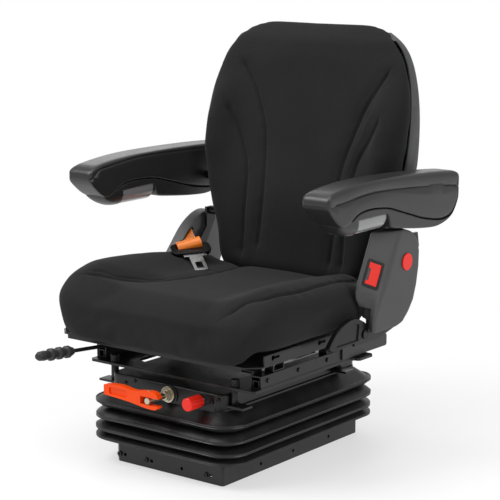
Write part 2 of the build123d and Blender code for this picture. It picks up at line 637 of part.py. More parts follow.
def make_rail_end_covers():
    """Caps over the rear ends of the sliding rails."""
    x0, x1 = RAIL_OUTER_X - RAIL_WIDTH - 3, RAIL_OUTER_X + 3
    cover = block(x0, x1, END_COVER_FRONT_Y, RAIL_REAR_Y + 4, 177.5, RAIL_TOP + 4)
    cover -= block(x0 + 2.7, x1 - 2.7, END_COVER_FRONT_Y - 1, RAIL_REAR_Y + 0.3, 176, RAIL_TOP + 0.3)
    cover = chamfer(cover.edges().filter_by(Axis.X).sort_by(Axis.Y)[-2:], 3)
    cover += bar((RAIL_OUTER_X - 10, RAIL_REAR_Y + 4, 190), (RAIL_OUTER_X - 10, RAIL_REAR_Y + 14, 190), 1.5)
    return solids(both(cover))


def make_rail_screws():
    """Rivet heads on the outside of the sliding rails."""
    heads = []
    for y in (-150.0, -62.0, 24.0):
        heads += both(bar((RAIL_OUTER_X, y, 186), (RAIL_OUTER_X + 2.5, y, 186), 4.0))
    return solids(heads)


def make_slide_lever_rod():
    """Release shaft across the rails with the lever's rod welded to it."""
    end_x = RAIL_OUTER_X - RAIL_WIDTH - RUN
    shaft = bar((-end_x, RELEASE_Y, RELEASE_Z), (end_x, RELEASE_Y, RELEASE_Z), RELEASE_R)
    run = RELEASE_Y - GRIP_START_Y + 60
    end = (RELEASE_ROD_X, RELEASE_Y - run, RELEASE_Z + run * tan(radians(RELEASE_SLOPE)))
    return shaft + bar((RELEASE_ROD_X, RELEASE_Y, RELEASE_Z), end, RELEASE_ROD_R)


def make_slide_lever_grip():
    """Rubber grip with three ribs, pushed on the rod."""
    slope = radians(RELEASE_SLOPE)
    start = Vector(RELEASE_ROD_X, GRIP_START_Y, RELEASE_Z + (RELEASE_Y - GRIP_START_Y) * tan(slope))
    plane = Plane(origin=start, x_dir=(1, 0, 0), z_dir=(0, -cos(slope), sin(slope)))
    length = GRIP_LENGTH
    profile = [(0, 0), (6.5, 0), (GRIP_R - 1, 4)]
    for i in range(3):
        middle = 14 + i * 20.0
        profile += [(GRIP_R - 1.5, middle - 6), (GRIP_RIB_R, middle - 3), (GRIP_RIB_R, middle + 3),
                    (GRIP_R - 1.5, middle + 6)]
    profile += [(GRIP_R, length - 16), (GRIP_R - 1, length - 5), (5, length), (0, length)]
    half = make_face(Polyline(*[(r, 0, d) for r, d in profile], close=True))
    grip = revolve(half, Axis.Z)
    grip -= Pos(0, 0, 29.5) * Cylinder(RELEASE_ROD_R + 0.02, 63)
    return plane.location * grip


def make_seat_pan():
    """Pressed pan with keyholed side flanges, a rolled front lip and four feet."""
    floor = block(-PAN_HALF, PAN_HALF, PAN_FRONT_Y, PAN_REAR_Y, PAN_Z, PAN_Z + SHEET)
    flange = block(PAN_HALF - SHEET, PAN_HALF, PAN_FRONT_Y + 26, PAN_REAR_Y, PAN_Z, PAN_FLANGE_TOP)
    for y in KEYHOLE_Y:
        x0, x1 = PAN_HALF - SHEET - 1, PAN_HALF + 1
        flange -= bar((x0, y - KEYHOLE_SLOT / 2, KEYHOLE_Z), (x1, y - KEYHOLE_SLOT / 2, KEYHOLE_Z), KEYHOLE_R)
        flange -= block(x0, x1, y - KEYHOLE_SLOT / 2, y + KEYHOLE_SLOT / 2, KEYHOLE_Z - 2, KEYHOLE_Z + 2)
    lip = block(-PAN_HALF + 30, PAN_HALF - 30, PAN_FRONT_Y, PAN_FRONT_Y + SHEET, PAN_Z - PAN_LIP_DROP, PAN_Z + SHEET)
    pan = floor + flange + mirrored(flange) + lip
    corners = pan.edges().filter_by(Axis.Z).filter_by(lambda e: abs(e.center().X) > PAN_HALF - 1
                                                      and e.center().Y < PAN_FRONT_Y + 1)
    pan = chamfer(corners, 22)
    for y in PAN_FOOT_Y:
        foot = block(RAIL_OUTER_X - RAIL_WIDTH + 2, RAIL_OUTER_X - 2, y - 16, y + 16, RAIL_TOP, PAN_Z)
        foot -= block(RAIL_OUTER_X - RAIL_WIDTH, RAIL_OUTER_X, y - 13, y + 13, RAIL_TOP + 3, PAN_Z - 1)
        pan = pan + foot + mirrored(foot)
    return pan


def make_seat_cushion():
    """Moulded foam cushion: raised side bolsters, rounded front corners, a lower front roll."""
    half, rear, front_y = CUSHION_HALF, CUSHION_REAR_Y, CUSHION_FRONT_Y
    corner = ThreePointArc((half - 66, front_y + 6), (half - 18, front_y + 24), (half, front_y + 74))
    plan = make_face([ThreePointArc((66 - half, front_y + 6), (0, front_y), (half - 66, front_y + 6)).edge(),
                      *corner.edges(), *mirror(corner, about=Plane.YZ).edges(),
                      *Polyline((half, front_y + 74), (half, 36), (half - 22, 100), (half - 30, 160), (30 - half, 160),
                                (22 - half, 100), (-half, 36), (-half, front_y + 74)).edges()])
    body = extrude(plan, amount=CUSHION_TOP + 10)
    side = make_face([*Spline((0, CUSHION_FRONT_Y + 10, 252), (0, CUSHION_FRONT_Y + 1, 272),
                              (0, CUSHION_FRONT_Y + 4, 300), (0, CUSHION_FRONT_Y + 34, 331),
                              (0, -171, 345), (0, -78, CUSHION_TOP), (0, 10, 338), (0, rear + 6, 326)).edges(),
                      *Polyline((0, rear + 6, 326), (0, rear + 6, 262), (0, rear, 262), (0, rear, 229),
                                (0, CUSHION_FRONT_Y + 10, 221),
                                (0, CUSHION_FRONT_Y + 10, 252)).edges()])
    body &= extrude(side, amount=half + 10, dir=(1, 0, 0), both=True)
    front = make_face([*Spline((half - 8, 0, CUSHION_BOTTOM), (half, 0, 275), (half - 1, 0, 315), (half - 18, 0, 338),
                               (half - 45, 0, 345), (half - 80, 0, 329), (half - 130, 0, 314), (0, 0, CUSHION_MIDDLE_TOP),
                               (-half + 130, 0, 314), (-half + 80, 0, 329), (-half + 45, 0, 345), (-half + 18, 0, 338),
                               (-half + 1, 0, 315), (-half, 0, 275), (-half + 8, 0, CUSHION_BOTTOM)).edges(),
                       *Polyline((-half + 8, 0, CUSHION_BOTTOM), (-PAN_HALF + SHEET + 0.6, 0, CUSHION_BOTTOM),
                                 (-PAN_HALF + SHEET + 0.6, 0, 200), (PAN_HALF - SHEET - 0.6, 0, 200),
                                 (PAN_HALF - SHEET - 0.6, 0, CUSHION_BOTTOM), (half - 8, 0, CUSHION_BOTTOM)).edges()])
    front = Pos(0, -60, 0) * front
    body &= extrude(front, amount=400, dir=Vector(0, 1, -CUSHION_FALL).normalized(), both=True)
    underside = block(PAN_HALF - SHEET - 0.6, 300, -62, 200, 100, CUSHION_BOTTOM + RUN)
    body -= underside + mirrored(underside)
    body -= block(-300, 300, PAN_FRONT_Y - 0.5, 300, 100, PAN_Z + SHEET + RUN)
    body -= block(PAN_HALF - 30, 300, -300, PAN_FRONT_Y + 25, 100, PAN_Z + SHEET + RUN)
    body -= block(-300, -PAN_HALF + 30, -300, PAN_FRONT_Y + 25, 100, PAN_Z + SHEET + RUN)
    return body


def make_recliner_plates():
    """Fixed plates beside the pan that carry the recliner shaft."""
    plate = side_plate([(40, 214), (118, 214), (168, 226), (176, 252), (160, 276), (132, 280), (116, 264),
                        (107, 246), (40, 246)], FIXED_PLATE_X, FIXED_PLATE_X + PLATE_THICK)
    plate -= bar((FIXED_PLATE_X - 1, RECLINE_Y, RECLINE_Z), (FIXED_PLATE_X + 6, RECLINE_Y, RECLINE_Z),
                 RECLINE_SHAFT_R + 0.02)
    plate += block(PAN_HALF, FIXED_PLATE_X, 50, 108, 228, 244)
    return solids(both(plate))


def make_recliner_shaft():
    """Cross shaft of the recliner, with the stub that the recline lever turns on."""
    reach = ARM_PLATE_X + PLATE_THICK + 2
    return bar((-reach, RECLINE_Y, RECLINE_Z), (reach, RECLINE_Y, RECLINE_Z), RECLINE_SHAFT_R)


def make_recline_lever():
    """Moulded paddle with a curved rib and a hub."""
    x0 = RECLINE_LEVER_X
    outline = [*Spline((x0, -78, 236), (x0, -55, 258), (x0, -29, 272), (x0, -3, 276), (x0, 18, 270), (x0, 37, 259)).edges(),
               *Polyline((x0, 37, 259), (x0, 41, 236), (x0, -36, 230), (x0, -67, 230), (x0, -78, 236)).edges()]
    lever = side_form(outline, x0, x0 + RECLINE_LEVER_THICK)
    y, z = RECLINE_LEVER_Y, RECLINE_LEVER_Z
    pocket = [*Spline((x0, -56, 240), (x0, -34, 259), (x0, -6, 267), (x0, 12, 263)).edges(),
              *Polyline((x0, 12, 263), (x0, 8, 236), (x0, -56, 236), (x0, -56, 240)).edges()]
    lever -= Pos(RECLINE_LEVER_THICK - 2.5, 0, 0) * side_form(pocket, x0, x0 + 9)
    lever -= bar((x0 - 1, y, z), (x0 + 20, y, z), 6.0 + BEARING)
    return lever


def make_recline_lever_pin():
    """Headed pin of the recline lever, standing on the fixed plate's side."""
    y, z = RECLINE_LEVER_Y, RECLINE_LEVER_Z
    pin = bar((PAN_HALF, y, z - 0), (RECLINE_LEVER_X + RECLINE_LEVER_THICK + 0.3, y, z), 6.0)
    pin += bar((RECLINE_LEVER_X + RECLINE_LEVER_THICK + 0.3, y, z), (RECLINE_LEVER_X + RECLINE_LEVER_THICK + 2.5, y, z), 8.5)
    return pin


# Side covers and belt

FACET_TOP_IN = Vector(COVER_INNER_X - 1, 66, 413)
FACET_LOW_IN = Vector(COVER_INNER_X - 1, 24, 328)
FACET_TOP_OUT = Vector(COVER_OUTER_X, 107, 393)


def facet_plane():
    """The slanted front face of the right cover; its x axis runs down the face."""
    down = (FACET_LOW_IN - FACET_TOP_IN).normalized()
    across = (FACET_TOP_OUT - FACET_TOP_IN).normalized()
    normal = down.cross(across).normalized()
    if normal.X < 0:
        normal = normal * -1
    return Plane(origin=FACET_TOP_IN, x_dir=down, z_dir=normal)


def buckle_plane():
    """Where the buckle sits on that face."""
    plane = facet_plane()
    middle = Vector(COVER_OUTER_X - 14, 55, 345)
    local = plane.to_local_coords(middle)
    return Plane(origin=plane.from_local_coords(Vector(local.X, local.Y, 0)), x_dir=plane.x_dir, z_dir=plane.z_dir)


def cover_boss():
    """Boss by which a side cover is screwed to the recliner's fixed plate."""
    return bar((FIXED_PLATE_X + PLATE_THICK, *COVER_BOSS_AT), (COVER_INNER_X + 1, *COVER_BOSS_AT), 3.5)


def make_side_cover_right():
    """Moulded pod beside the recliner: slanted front face, lever recess and buckle pocket."""
    x0 = COVER_INNER_X
    outline = [*Spline((x0, 66, 413), (x0, 96, 417), (x0, 124, 412), (x0, 149, 397), (x0, 169, 376), (x0, 179, 350),
                       (x0, 177, 322), (x0, 166, 293), (x0, 147, 268), (x0, 111, 246), tangents=((0, 1, 0.2), (0, -1, -0.4))).edges(),
               *Polyline((x0, 111, 246), (x0, 26, 244), (x0, 10, 262), (x0, 24, 328), (x0, 66, 413)).edges()]
    cover = side_form(outline, x0, COVER_OUTER_X)
    cover = fillet(cover.faces().sort_by(Axis.X)[-1].edges().sort_by(SortBy.LENGTH)[-1], COVER_ROUND)
    cutter = facet_plane() * Pos(0, 0, 50) * Box(400, 400, 100)
    cover -= cutter
    recess = block(RECLINE_LEVER_X - 2, COVER_OUTER_X + 5, -40, 54, 200, 288)
    cover -= recess
    cover -= bar((x0 - 5, RECLINE_LEVER_Y, RECLINE_LEVER_Z), (x0 + 20, RECLINE_LEVER_Y, RECLINE_LEVER_Z), 8.0)
    cover -= block(x0 - 1, x0 + 10, -40, RECLINE_LEVER_Y + 8, 200, RECLINE_LEVER_Z)
    pocket = buckle_plane() * Pos(0, 0, -BUCKLE_DEPTH / 2 + 5) * Box(BUCKLE_LONG - 4, BUCKLE_SHORT - 4, BUCKLE_DEPTH + 10)
    return cover - pocket + cover_boss()


def make_side_cover_left():
    """Moulded cover of the belt reel, with a slot for the webbing."""
    x0, x1 = COVER_INNER_X, COVER_OUTER_X
    outline = [*Spline((x0, 104, 262), (x0, 112, 296), (x0, 137, 327), (x0, 163, 355), (x0, 196, 377), (x0, 230, 384),
                       (x0, 260, 368), (x0, 273, 335), (x0, 264, 285), (x0, 232, 246)).edges(),
               *Polyline((x0, 232, 246), (x0, 116, 246), (x0, 104, 262)).edges()]
    cover = side_form(outline, x0, x1)
    cover = fillet(cover.faces().sort_by(Axis.X)[-1].edges().sort_by(SortBy.LENGTH)[-1], COVER_ROUND)
    hollow = Pos((x0 + x1) / 2, 190, 322) * Rot(REEL_SLOT_ANGLE, 0, 0) * Box(x1 - x0 - 6, 64, 56)
    cover -= hollow
    slot = Pos(x0, *REEL_SLOT_AT) * Rot(REEL_SLOT_ANGLE, 0, 0) * Box(12, WEBBING_WIDTH + 6, 9)
    cover -= slot
    return mirrored(cover + cover_boss())


def make_belt_reel():
    """Reel of stored webbing inside the left cover."""
    reel = Rot(REEL_SLOT_ANGLE + 90, 0, 0) * Cylinder(11.3, 56)
    return Pos(-(COVER_INNER_X + COVER_OUTER_X) / 2, 190, 322) * reel


def make_buckle_housing():
    """Buckle bezel and body, with a tongue slot beside the button."""
    plane = buckle_plane()
    body = Pos(0, 0, (BUCKLE_PROUD - BUCKLE_DEPTH + 0.5) / 2) * Box(
        BUCKLE_LONG - 5, BUCKLE_SHORT - 5, BUCKLE_DEPTH - 0.5 + BUCKLE_PROUD)
    rim = Pos(0, 0, BUCKLE_PROUD / 2 + 0.02) * Box(BUCKLE_LONG, BUCKLE_SHORT, BUCKLE_PROUD)
    housing = body + fillet(rim.edges().filter_by(Axis.Z), 4)
    well = Pos(0, 0, BUCKLE_PROUD - 3.75) * Box(BUCKLE_LONG - 10, BUCKLE_SHORT - 9, 7.6)
    return plane.location * (housing - well)


def make_buckle_button():
    """Press button with a notch for the tongue."""
    plane = buckle_plane()
    button = Pos(0, 0, BUCKLE_PROUD - 2.2) * Box(BUCKLE_LONG - 10.8, BUCKLE_SHORT - 9.8, 3.6)
    notch = Pos(2, -(BUCKLE_SHORT - 9.8) / 2, BUCKLE_PROUD - 2.2) * Box(22, 10, 6)
    return plane.location * (button - notch)


def make_cap_disc():
    """Plain round cap on the right cover."""
    cap = bar((COVER_OUTER_X, CAP_Y, CAP_Z), (COVER_OUTER_X + 2.2, CAP_Y, CAP_Z), CAP_R)
    return fillet(cap.edges().sort_by(Axis.X)[-1], 1.2)


TONGUE_AT = Vector(-149, 51, 341.5)
TONGUE_ACROSS = Vector(0.592, 0.798, 0.05).normalized()
TONGUE_DOWN = Vector(0.792, -0.546, -0.36)


def tongue_plane():
    """The tongue's own plane: x across, y down the tongue."""
    across = TONGUE_ACROSS
    normal = across.cross(TONGUE_DOWN).normalized()
    return Plane(origin=TONGUE_AT, x_dir=across, z_dir=normal)


def make_belt_tongue():
    """Steel tongue with the latch window."""
    blade = Pos(3, 49, 0) * Box(26, 52, 2.4)
    blade = fillet(blade.edges().filter_by(Axis.Z).sort_by(Axis.Y)[-2:], 4)
    blade += Pos(3, 16, 0) * Box(44, 20, 2.4)
    blade -= Pos(3, 57, 0) * Box(13, 22, 5)
    return tongue_plane().location * blade


def make_tongue_cover():
    """Plastic grip moulded over the tongue, with the webbing slot."""
    cover = Pos(0, 0, 0) * Box(76, 36, 8)
    cover = fillet(cover.edges().filter_by(Axis.Z), 12)
    cover -= Pos(3, 14, 0) * Box(44.2, 16.2, 2.5)
    cover -= Pos(0, -7, 0) * Box(WEBBING_WIDTH + 4, 9, 12)
    return tongue_plane().location * cover


def make_belt_webbing():
    """Webbing from the reel's slot, arched over to the tongue's slot."""
    plane = tongue_plane()
    up = plane.z_dir if plane.z_dir.Z > 0 else plane.z_dir * -1
    near = TONGUE_AT - TONGUE_DOWN.normalized() * 7
    along = radians(REEL_SLOT_ANGLE)
    far_across = Vector(0, cos(along), sin(along))
    far = Vector(-COVER_INNER_X - 1.5, *REEL_SLOT_AT)
    crest = near + up * 13
    stand = loft([Plane(origin=near - up * 3.5, x_dir=TONGUE_ACROSS, z_dir=up) * Rectangle(WEBBING_WIDTH, WEBBING_THICK),
                  Plane(origin=crest, x_dir=TONGUE_ACROSS, z_dir=up) * Rectangle(WEBBING_WIDTH, WEBBING_THICK)])
    ahead = (far - crest).normalized()
    first = (ahead - TONGUE_ACROSS * ahead.dot(TONGUE_ACROSS)).normalized()
    last = (ahead - far_across * ahead.dot(far_across)).normalized()
    strip = loft([Plane(origin=crest, x_dir=TONGUE_ACROSS, z_dir=first) * Rectangle(WEBBING_WIDTH, WEBBING_THICK),
                  Plane(origin=far, x_dir=far_across, z_dir=last) * Rectangle(WEBBING_WIDTH, WEBBING_THICK)])
    return stand + strip


# Backrest

def back_plane():
    """Leaning frame of the backrest: x across, y up the back, z towards the occupant."""
    tilt = radians(BACK_TILT)
    return Plane(origin=(0, BACK_FRONT_Y, BACK_FRONT_Z), x_dir=(1, 0, 0), z_dir=(0, -cos(tilt), sin(tilt)))


def back_outline(grow, foot):
    """Face of the backrest as seen from the front, grown by an amount."""
    half, low, top = BACK_HALF + grow, BACK_BOTTOM_HALF + grow, BACK_HEIGHT + grow
    right = Spline((low, foot), (low + 4, 93), (low + 27, 137), (half - 8, 176), (half, 230), (half, 308), (half - 9, 364),
                   (half - 40, 419), (half - 92, top - 7), (0, top), tangents=((0.05, 1), (-1, 0)))
    left = mirror(right, about=Plane.YZ)
    return make_face([*right.edges(), *left.edges(), Line((low, foot), (-low, foot)).edge()])


def back_face(z):
    """Depth position of the back cushion's front face at a height, on the middle line."""
    return BACK_FRONT_Y + (z - BACK_FRONT_Z) * tan(radians(BACK_TILT))


def cushion_rear(z):
    """Depth position of the back cushion's flat rear face at a height."""
    return BACK_REAR_FOOT[0] + (z - BACK_REAR_FOOT[1]) * tan(radians(BACK_REAR_TILT))


def make_backrest_cushion():
    """Moulded back cushion: side bolsters, a lumbar swell and a crest that rolls backwards."""
    body = back_plane().location * extrude(back_outline(0, -6), amount=110, both=True)
    front = [(0, back_face(z) + d, z) for z, d in ((312, 8), (360, 1), (430, -5), (520, 0), (610, 1), (680, 0))]
    side = make_face([*Spline(*front, (0, 230, 728), (0, 248, 757), (0, 264, 768)).edges(),
                      *Polyline((0, 264, 768), (0, 264, 757), (0, cushion_rear(735), 735),
                                (0, cushion_rear(312), 312), front[0]).edges()])
    body &= extrude(side, amount=300, dir=(1, 0, 0), both=True)
    bolster = Spline((0, 12), (110, 9), (165, -1), (196, -6), (214, 5), (222, 22))
    hollow = make_face([*bolster.edges(), *mirror(bolster, about=Plane.YZ).edges(),
                        *Polyline((222, 22), (222, 150), (-222, 150), (-222, 22)).edges()])
    section = Plane(origin=(0, BACK_FRONT_Y, BACK_FRONT_Z), x_dir=(1, 0, 0),
                    z_dir=(0, sin(radians(BACK_TILT)), cos(radians(BACK_TILT))))
    body &= section.location * extrude(hollow, amount=520, both=True)
    pin_notch = block(140, 300, ARMREST_PIVOT_Y - 9, 300, ARMREST_PIVOT_Z - 9, ARMREST_PIVOT_Z + 9)
    return body - pin_notch - mirrored(pin_notch)


def make_backrest_shell():
    """Plastic back shell behind the cushion, hollow towards the frame."""
    def form(wall):
        body = back_plane().location * extrude(back_outline(-2 - wall, 30 + wall), amount=180, both=True)
        rear = BACK_REAR_Y - wall
        side = make_face([*Polyline((0, cushion_rear(350) + RUN, 350), (0, cushion_rear(735) + RUN, 735),
                                    (0, rear + 2, 748 - wall), (0, rear, 700), (0, rear, 520)).edges(),
                          *Spline((0, rear, 520), (0, rear - 4, 450), (0, rear - 26, 350 + wall)).edges(),
                          Line((0, rear - 26, 350 + wall), (0, cushion_rear(350) + RUN, 350)).edge()])
        return body & extrude(side, amount=300, dir=(1, 0, 0), both=True)
    shell = form(0) - form(BACK_SHELL_WALL)
    notch = block(150, 300, ARMREST_PIVOT_Y - 12, ARMREST_PIVOT_Y + 12, ARMREST_PIVOT_Z - 12, ARMREST_PIVOT_Z + 12)
    tube_y = cushion_rear(CROSS_TUBE_AT[1]) + RUN + FRAME_TUBE_R + 0.5
    notch += block(150, 300, tube_y - 12, tube_y + 12, CROSS_TUBE_AT[1] - 12, CROSS_TUBE_AT[1] + 12)
    return shell - notch - mirrored(notch)


def make_backrest_frame():
    """Tube hoop behind the cushion."""
    def at(x, z):
        return (x, cushion_rear(z) + RUN + FRAME_TUBE_R + 0.5, z)
    low, mid, high = CROSS_TUBE_AT[1], ARMREST_PIVOT_Z + 60, HOOP_TOP_Z
    path = FilletPolyline(at(-148, low), at(-172, mid), at(-150, high), at(150, high), at(172, mid), at(148, low), radius=50)
    return sweep(Plane(origin=path @ 0, z_dir=path % 0) * Circle(FRAME_TUBE_R), path=path)


def recliner_arm():
    """Steel arm from the recliner shaft to the armrest pin."""
    x0 = ARM_PLATE_X
    plate = side_plate([(RECLINE_Y - 20, RECLINE_Z - 18), (RECLINE_Y + 20, RECLINE_Z - 18),
                        (RECLINE_Y + 30, RECLINE_Z + 20), (CROSS_TUBE_AT[0] + 14, CROSS_TUBE_AT[1] - 18),
                        (CROSS_TUBE_AT[0] + 9, CROSS_TUBE_AT[1] + 8), (CROSS_TUBE_AT[0] - 12, CROSS_TUBE_AT[1] + 8),
                        (CROSS_TUBE_AT[0] - 12, CROSS_TUBE_AT[1] - 30), (RECLINE_Y - 12, RECLINE_Z + 22)],
                       x0, x0 + PLATE_THICK)
    plate -= bar((x0 - 1, RECLINE_Y, RECLINE_Z), (x0 + 6, RECLINE_Y, RECLINE_Z), RECLINE_SHAFT_R + BEARING)
    return plate


# Armrests

ARM_TOP = [(-122, 493), (-119, 502), (-77, 512), (3, 518.5), (100, 521), (180, 516), (268, 503)]
ARM_CREASE = [(-122, 493), (-81, 499), (-22, 502), (70, 498), (151, 490), (245, 482), (277, 482)]
ARM_SEAM = [(ROLLER_FRONT_Y, 459), (-39, 463), (-6, 468), (43, 465), (87, 456), (136, 440), (186, 425), (223, 419)]


def make_armrest_pad():
    """Padded top of the armrest, down to the crease."""
    x0, x1 = ARMREST_INNER_X, ARMREST_INNER_X + ARMREST_WIDTH
    pts = [(x0, y, z) for y, z in ARM_TOP]
    crease = [(x0, y, z + 0.2) for y, z in reversed(ARM_CREASE)]
    edges = [*Polyline(pts[0], pts[1]).edges(), *Spline(*pts[1:]).edges(),
             *Spline(pts[-1], (x0, 276, 497), crease[0]).edges(), *Spline(*crease[:-1], pts[0]).edges()]
    pad = side_form(edges, x0, x1)
    top = pad.edges().filter_by(lambda e: e.center().Z > 510 and e.length > 200)
    return fillet(top, 8)


def make_armrest_shell():
    """Moulded body of the armrest between the crease and the lower seam."""
    x0, x1 = ARMREST_INNER_X, ARMREST_INNER_X + ARMREST_WIDTH
    crease = [(x0, y, z - 0.2) for y, z in ARM_CREASE]
    seam = [(x0, y, z) for y, z in reversed(ARM_SEAM)]
    edges = [*Spline(*crease).edges(),
             *Spline(crease[-1], (x0, 274, 458), (x0, 262, 434), seam[0]).edges(),
             *Spline(*seam).edges(),
             *Polyline(seam[-1], (x0, ROLLER_FRONT_Y - 4, 459), (x0, ROLLER_FRONT_Y - 4, 441)).edges(),
             *Spline((x0, ROLLER_FRONT_Y - 4, 441), (x0, -97, 467), crease[0]).edges()]
    shell = side_form(edges, x0, x1)
    middle_x = (x0 + x1) / 2
    shell -= bar((middle_x, ROLLER_FRONT_Y - 1, ROLLER_Z), (middle_x, ROLLER_REAR_Y + 1, ROLLER_Z), ROLLER_R + 1)
    shell -= bar((middle_x, ROLLER_FRONT_Y - 12, ROLLER_Z), (middle_x, ROLLER_FRONT_Y, ROLLER_Z), ROLLER_AXLE_R + BEARING)
    shell -= bar((x0 - 1, ARMREST_PIVOT_Y, ARMREST_PIVOT_Z), (x0 + 32, ARMREST_PIVOT_Y, ARMREST_PIVOT_Z),
                 ARMREST_PIVOT_R + BEARING)
    return shell


def make_armrest_housing():
    """Lower housing behind the roller."""
    x0, x1 = ARMREST_INNER_X, ARMREST_INNER_X + ARMREST_WIDTH
    y0 = ROLLER_REAR_Y + 1
    seam = [(x0, y, z - 0.2) for y, z in ARM_SEAM if y > y0]
    first = (x0, y0, 462)
    edges = [*Spline(first, *seam).edges(),
             *Spline(seam[-1], (x0, 224, 411), (x0, 187, 409), (x0, 147, 415), (x0, 98, 423), (x0, y0, 429)).edges(),
             *Polyline((x0, y0, 429), first).edges()]
    housing = side_form(edges, x0, x1)
    middle_x = (x0 + x1) / 2
    housing -= bar((middle_x, y0 - 1, ROLLER_Z), (middle_x, y0 + 9, ROLLER_Z), ROLLER_AXLE_R + BEARING)
    return housing


def make_armrest_roller():
    """Tilt roller under the armrest, with moulded stub axles."""
    x = ARMREST_INNER_X + ARMREST_WIDTH / 2
    roller = bar((x, ROLLER_FRONT_Y, ROLLER_Z), (x, ROLLER_REAR_Y, ROLLER_Z), ROLLER_R)
    roller = fillet(roller.edges().filter_by(GeomType.CIRCLE), 9)
    roller += bar((x, ROLLER_FRONT_Y - 9, ROLLER_Z), (x, ROLLER_REAR_Y + 8, ROLLER_Z), ROLLER_AXLE_R)
    return roller


def make_springs():
    """Pair of close-wound tension springs, each with an eye round the bar."""
    start, end = YOKE_Y, SPRING_BAR_Y - 5
    pitch = (end - start) / SPRING_RINGS
    profile = [(0, 0)]
    for i in range(SPRING_RINGS):
        profile += [(SPRING_R - 1.6, i * pitch), (SPRING_R, (i + 0.5) * pitch)]
    profile += [(SPRING_R - 1.6, end - start), (0, end - start)]
    spring = revolve(make_face(Polyline(*[(r, 0, d) for r, d in profile], close=True)), Axis.Z)
    found = []
    for x in (CRANK_X - SPRING_OFFSET, CRANK_X + SPRING_OFFSET):
        plane = Plane(origin=(x, start, SPRING_BAR_Z), x_dir=(1, 0, 0), z_dir=(0, 1, 0))
        eye = Pos(x, SPRING_BAR_Y, SPRING_BAR_Z) * Rot(0, 90, 0) * Torus(SPRING_BAR_R + 2, 1.5)
        found.append(plane.location * spring + eye)
    return solids(found)


def make_spring_yoke():
    """Nut plate that travels on the spindle and pulls both springs."""
    y0, y1 = YOKE_Y - YOKE_THICK, YOKE_Y
    reach = SPRING_OFFSET + SPRING_R
    yoke = block(CRANK_X - reach, CRANK_X + reach, y0, y1, CRANK_Z - 8, CRANK_Z + 8)
    yoke = fillet(yoke.edges().filter_by(Axis.Y), 6)
    yoke += bar((CRANK_X, y0, CRANK_Z), (CRANK_X, y1 + 8, CRANK_Z), 10.0)
    yoke -= bar((CRANK_X, y0 - 1, CRANK_Z), (CRANK_X, y1 + 9, CRANK_Z), SPINDLE_R + BEARING)
    return yoke


def make_frame_complete():
    """Backrest frame: hoop, cross tube, recliner arms and armrest pins as one weldment."""
    hoop = make_backrest_frame()
    y, z = cushion_rear(CROSS_TUBE_AT[1]) + RUN + FRAME_TUBE_R + 0.5, CROSS_TUBE_AT[1]
    cross = bar((-ARM_PLATE_X - 2, y, z), (ARM_PLATE_X + 2, y, z), FRAME_TUBE_R)
    arm = recliner_arm()
    pin_base = ARMREST_INNER_X + 30
    pin = bar((152, ARMREST_PIVOT_Y, ARMREST_PIVOT_Z), (pin_base, ARMREST_PIVOT_Y, ARMREST_PIVOT_Z), ARMREST_PIVOT_R)
    frame = hoop + cross
    for piece in (arm, pin):
        frame = frame + piece + mirrored(piece)
    return frame


NODES = {
    "base_tray": make_base_tray,
    "base_screws": make_base_screws,
    "outer_pivot_pins": lambda: make_pivot_pins(LOW_PIVOT_Z, OUTER_ARM_X, OUTER_ARM_X + ARM_THICK + 1.5),
    "buffer_pads": make_buffer_pads,
    "damper_body": make_damper_body,
    "outer_scissor": make_outer_scissor,
    "outer_glides": lambda: make_glides(HIGH_PIVOT_Z, OUTER_ARM_X),
    "centre_pins": make_centre_pins,
    "inner_scissor": make_inner_scissor,
    "inner_glides": lambda: make_glides(LOW_PIVOT_Z, INNER_ARM_X),
    "inner_pivot_pins": lambda: make_pivot_pins(HIGH_PIVOT_Z, INNER_ARM_X, INNER_ARM_X + ARM_THICK + 1.5),
    "damper_rod": make_damper_rod,
    "rubber_buffers": make_rubber_buffers,
    "tension_springs": make_springs,
    "spring_yoke": make_spring_yoke,
    "bellows": make_bellows,
    "head_housing": make_head_housing,
    "flange_nut": make_flange_nut,
    "crank_shaft": make_crank_shaft,
    "crank_lever": make_crank_lever,
    "crank_pin": make_crank_pin,
    "height_knob": make_height_knob,
    "knob_collar": make_knob_collar,
    "head_screws": make_head_screws,
    "posts": make_posts,
    "post_caps": make_post_caps,
    "adapter_plate": make_adapter_plate,
    "lower_rails": make_lower_rails,
    "upper_rails": make_upper_rails,
    "rail_end_covers": make_rail_end_covers,
    "rail_screws": make_rail_screws,
    "slide_lever_rod": make_slide_lever_rod,
    "slide_lever_grip": make_slide_lever_grip,
    "seat_pan": make_seat_pan,
    "seat_cushion": make_seat_cushion,
    "recliner_plates": make_recliner_plates,
    "recliner_shaft": make_recliner_shaft,
    "recline_lever": make_recline_lever,
    "recline_lever_pin": make_recline_lever_pin,
    "side_cover_right": make_side_cover_right,
    "side_cover_left": make_side_cover_left,
    "belt_reel": make_belt_reel,
    "belt_webbing": make_belt_webbing,
    "belt_tongue": make_belt_tongue,
    "tongue_cover": make_tongue_cover,
    "buckle_housing": make_buckle_housing,
    "buckle_button": make_buckle_button,
    "cap_disc": make_cap_disc,
    "backrest_frame": make_frame_complete,
    "backrest_shell": make_backrest_shell,
    "backrest_cushion": make_backrest_cushion,
    "armrest_pad_right": make_armrest_pad,
    "armrest_shell_right": make_armrest_shell,
    "armrest_housing_right": make_armrest_housing,
    "armrest_roller_right": make_armrest_roller,
    "armrest_pad_left": lambda: mirrored(make_armrest_pad()),
    "armrest_shell_left": lambda: mirrored(make_armrest_shell()),
    "armrest_housing_left": lambda: mirrored(make_armrest_housing()),
    "armrest_roller_left": lambda: mirrored(make_armrest_roller()),
}

os.makedirs("parts", exist_ok=True)
for node, make in NODES.items():
    export_step(make(), f"parts/{node}.step")
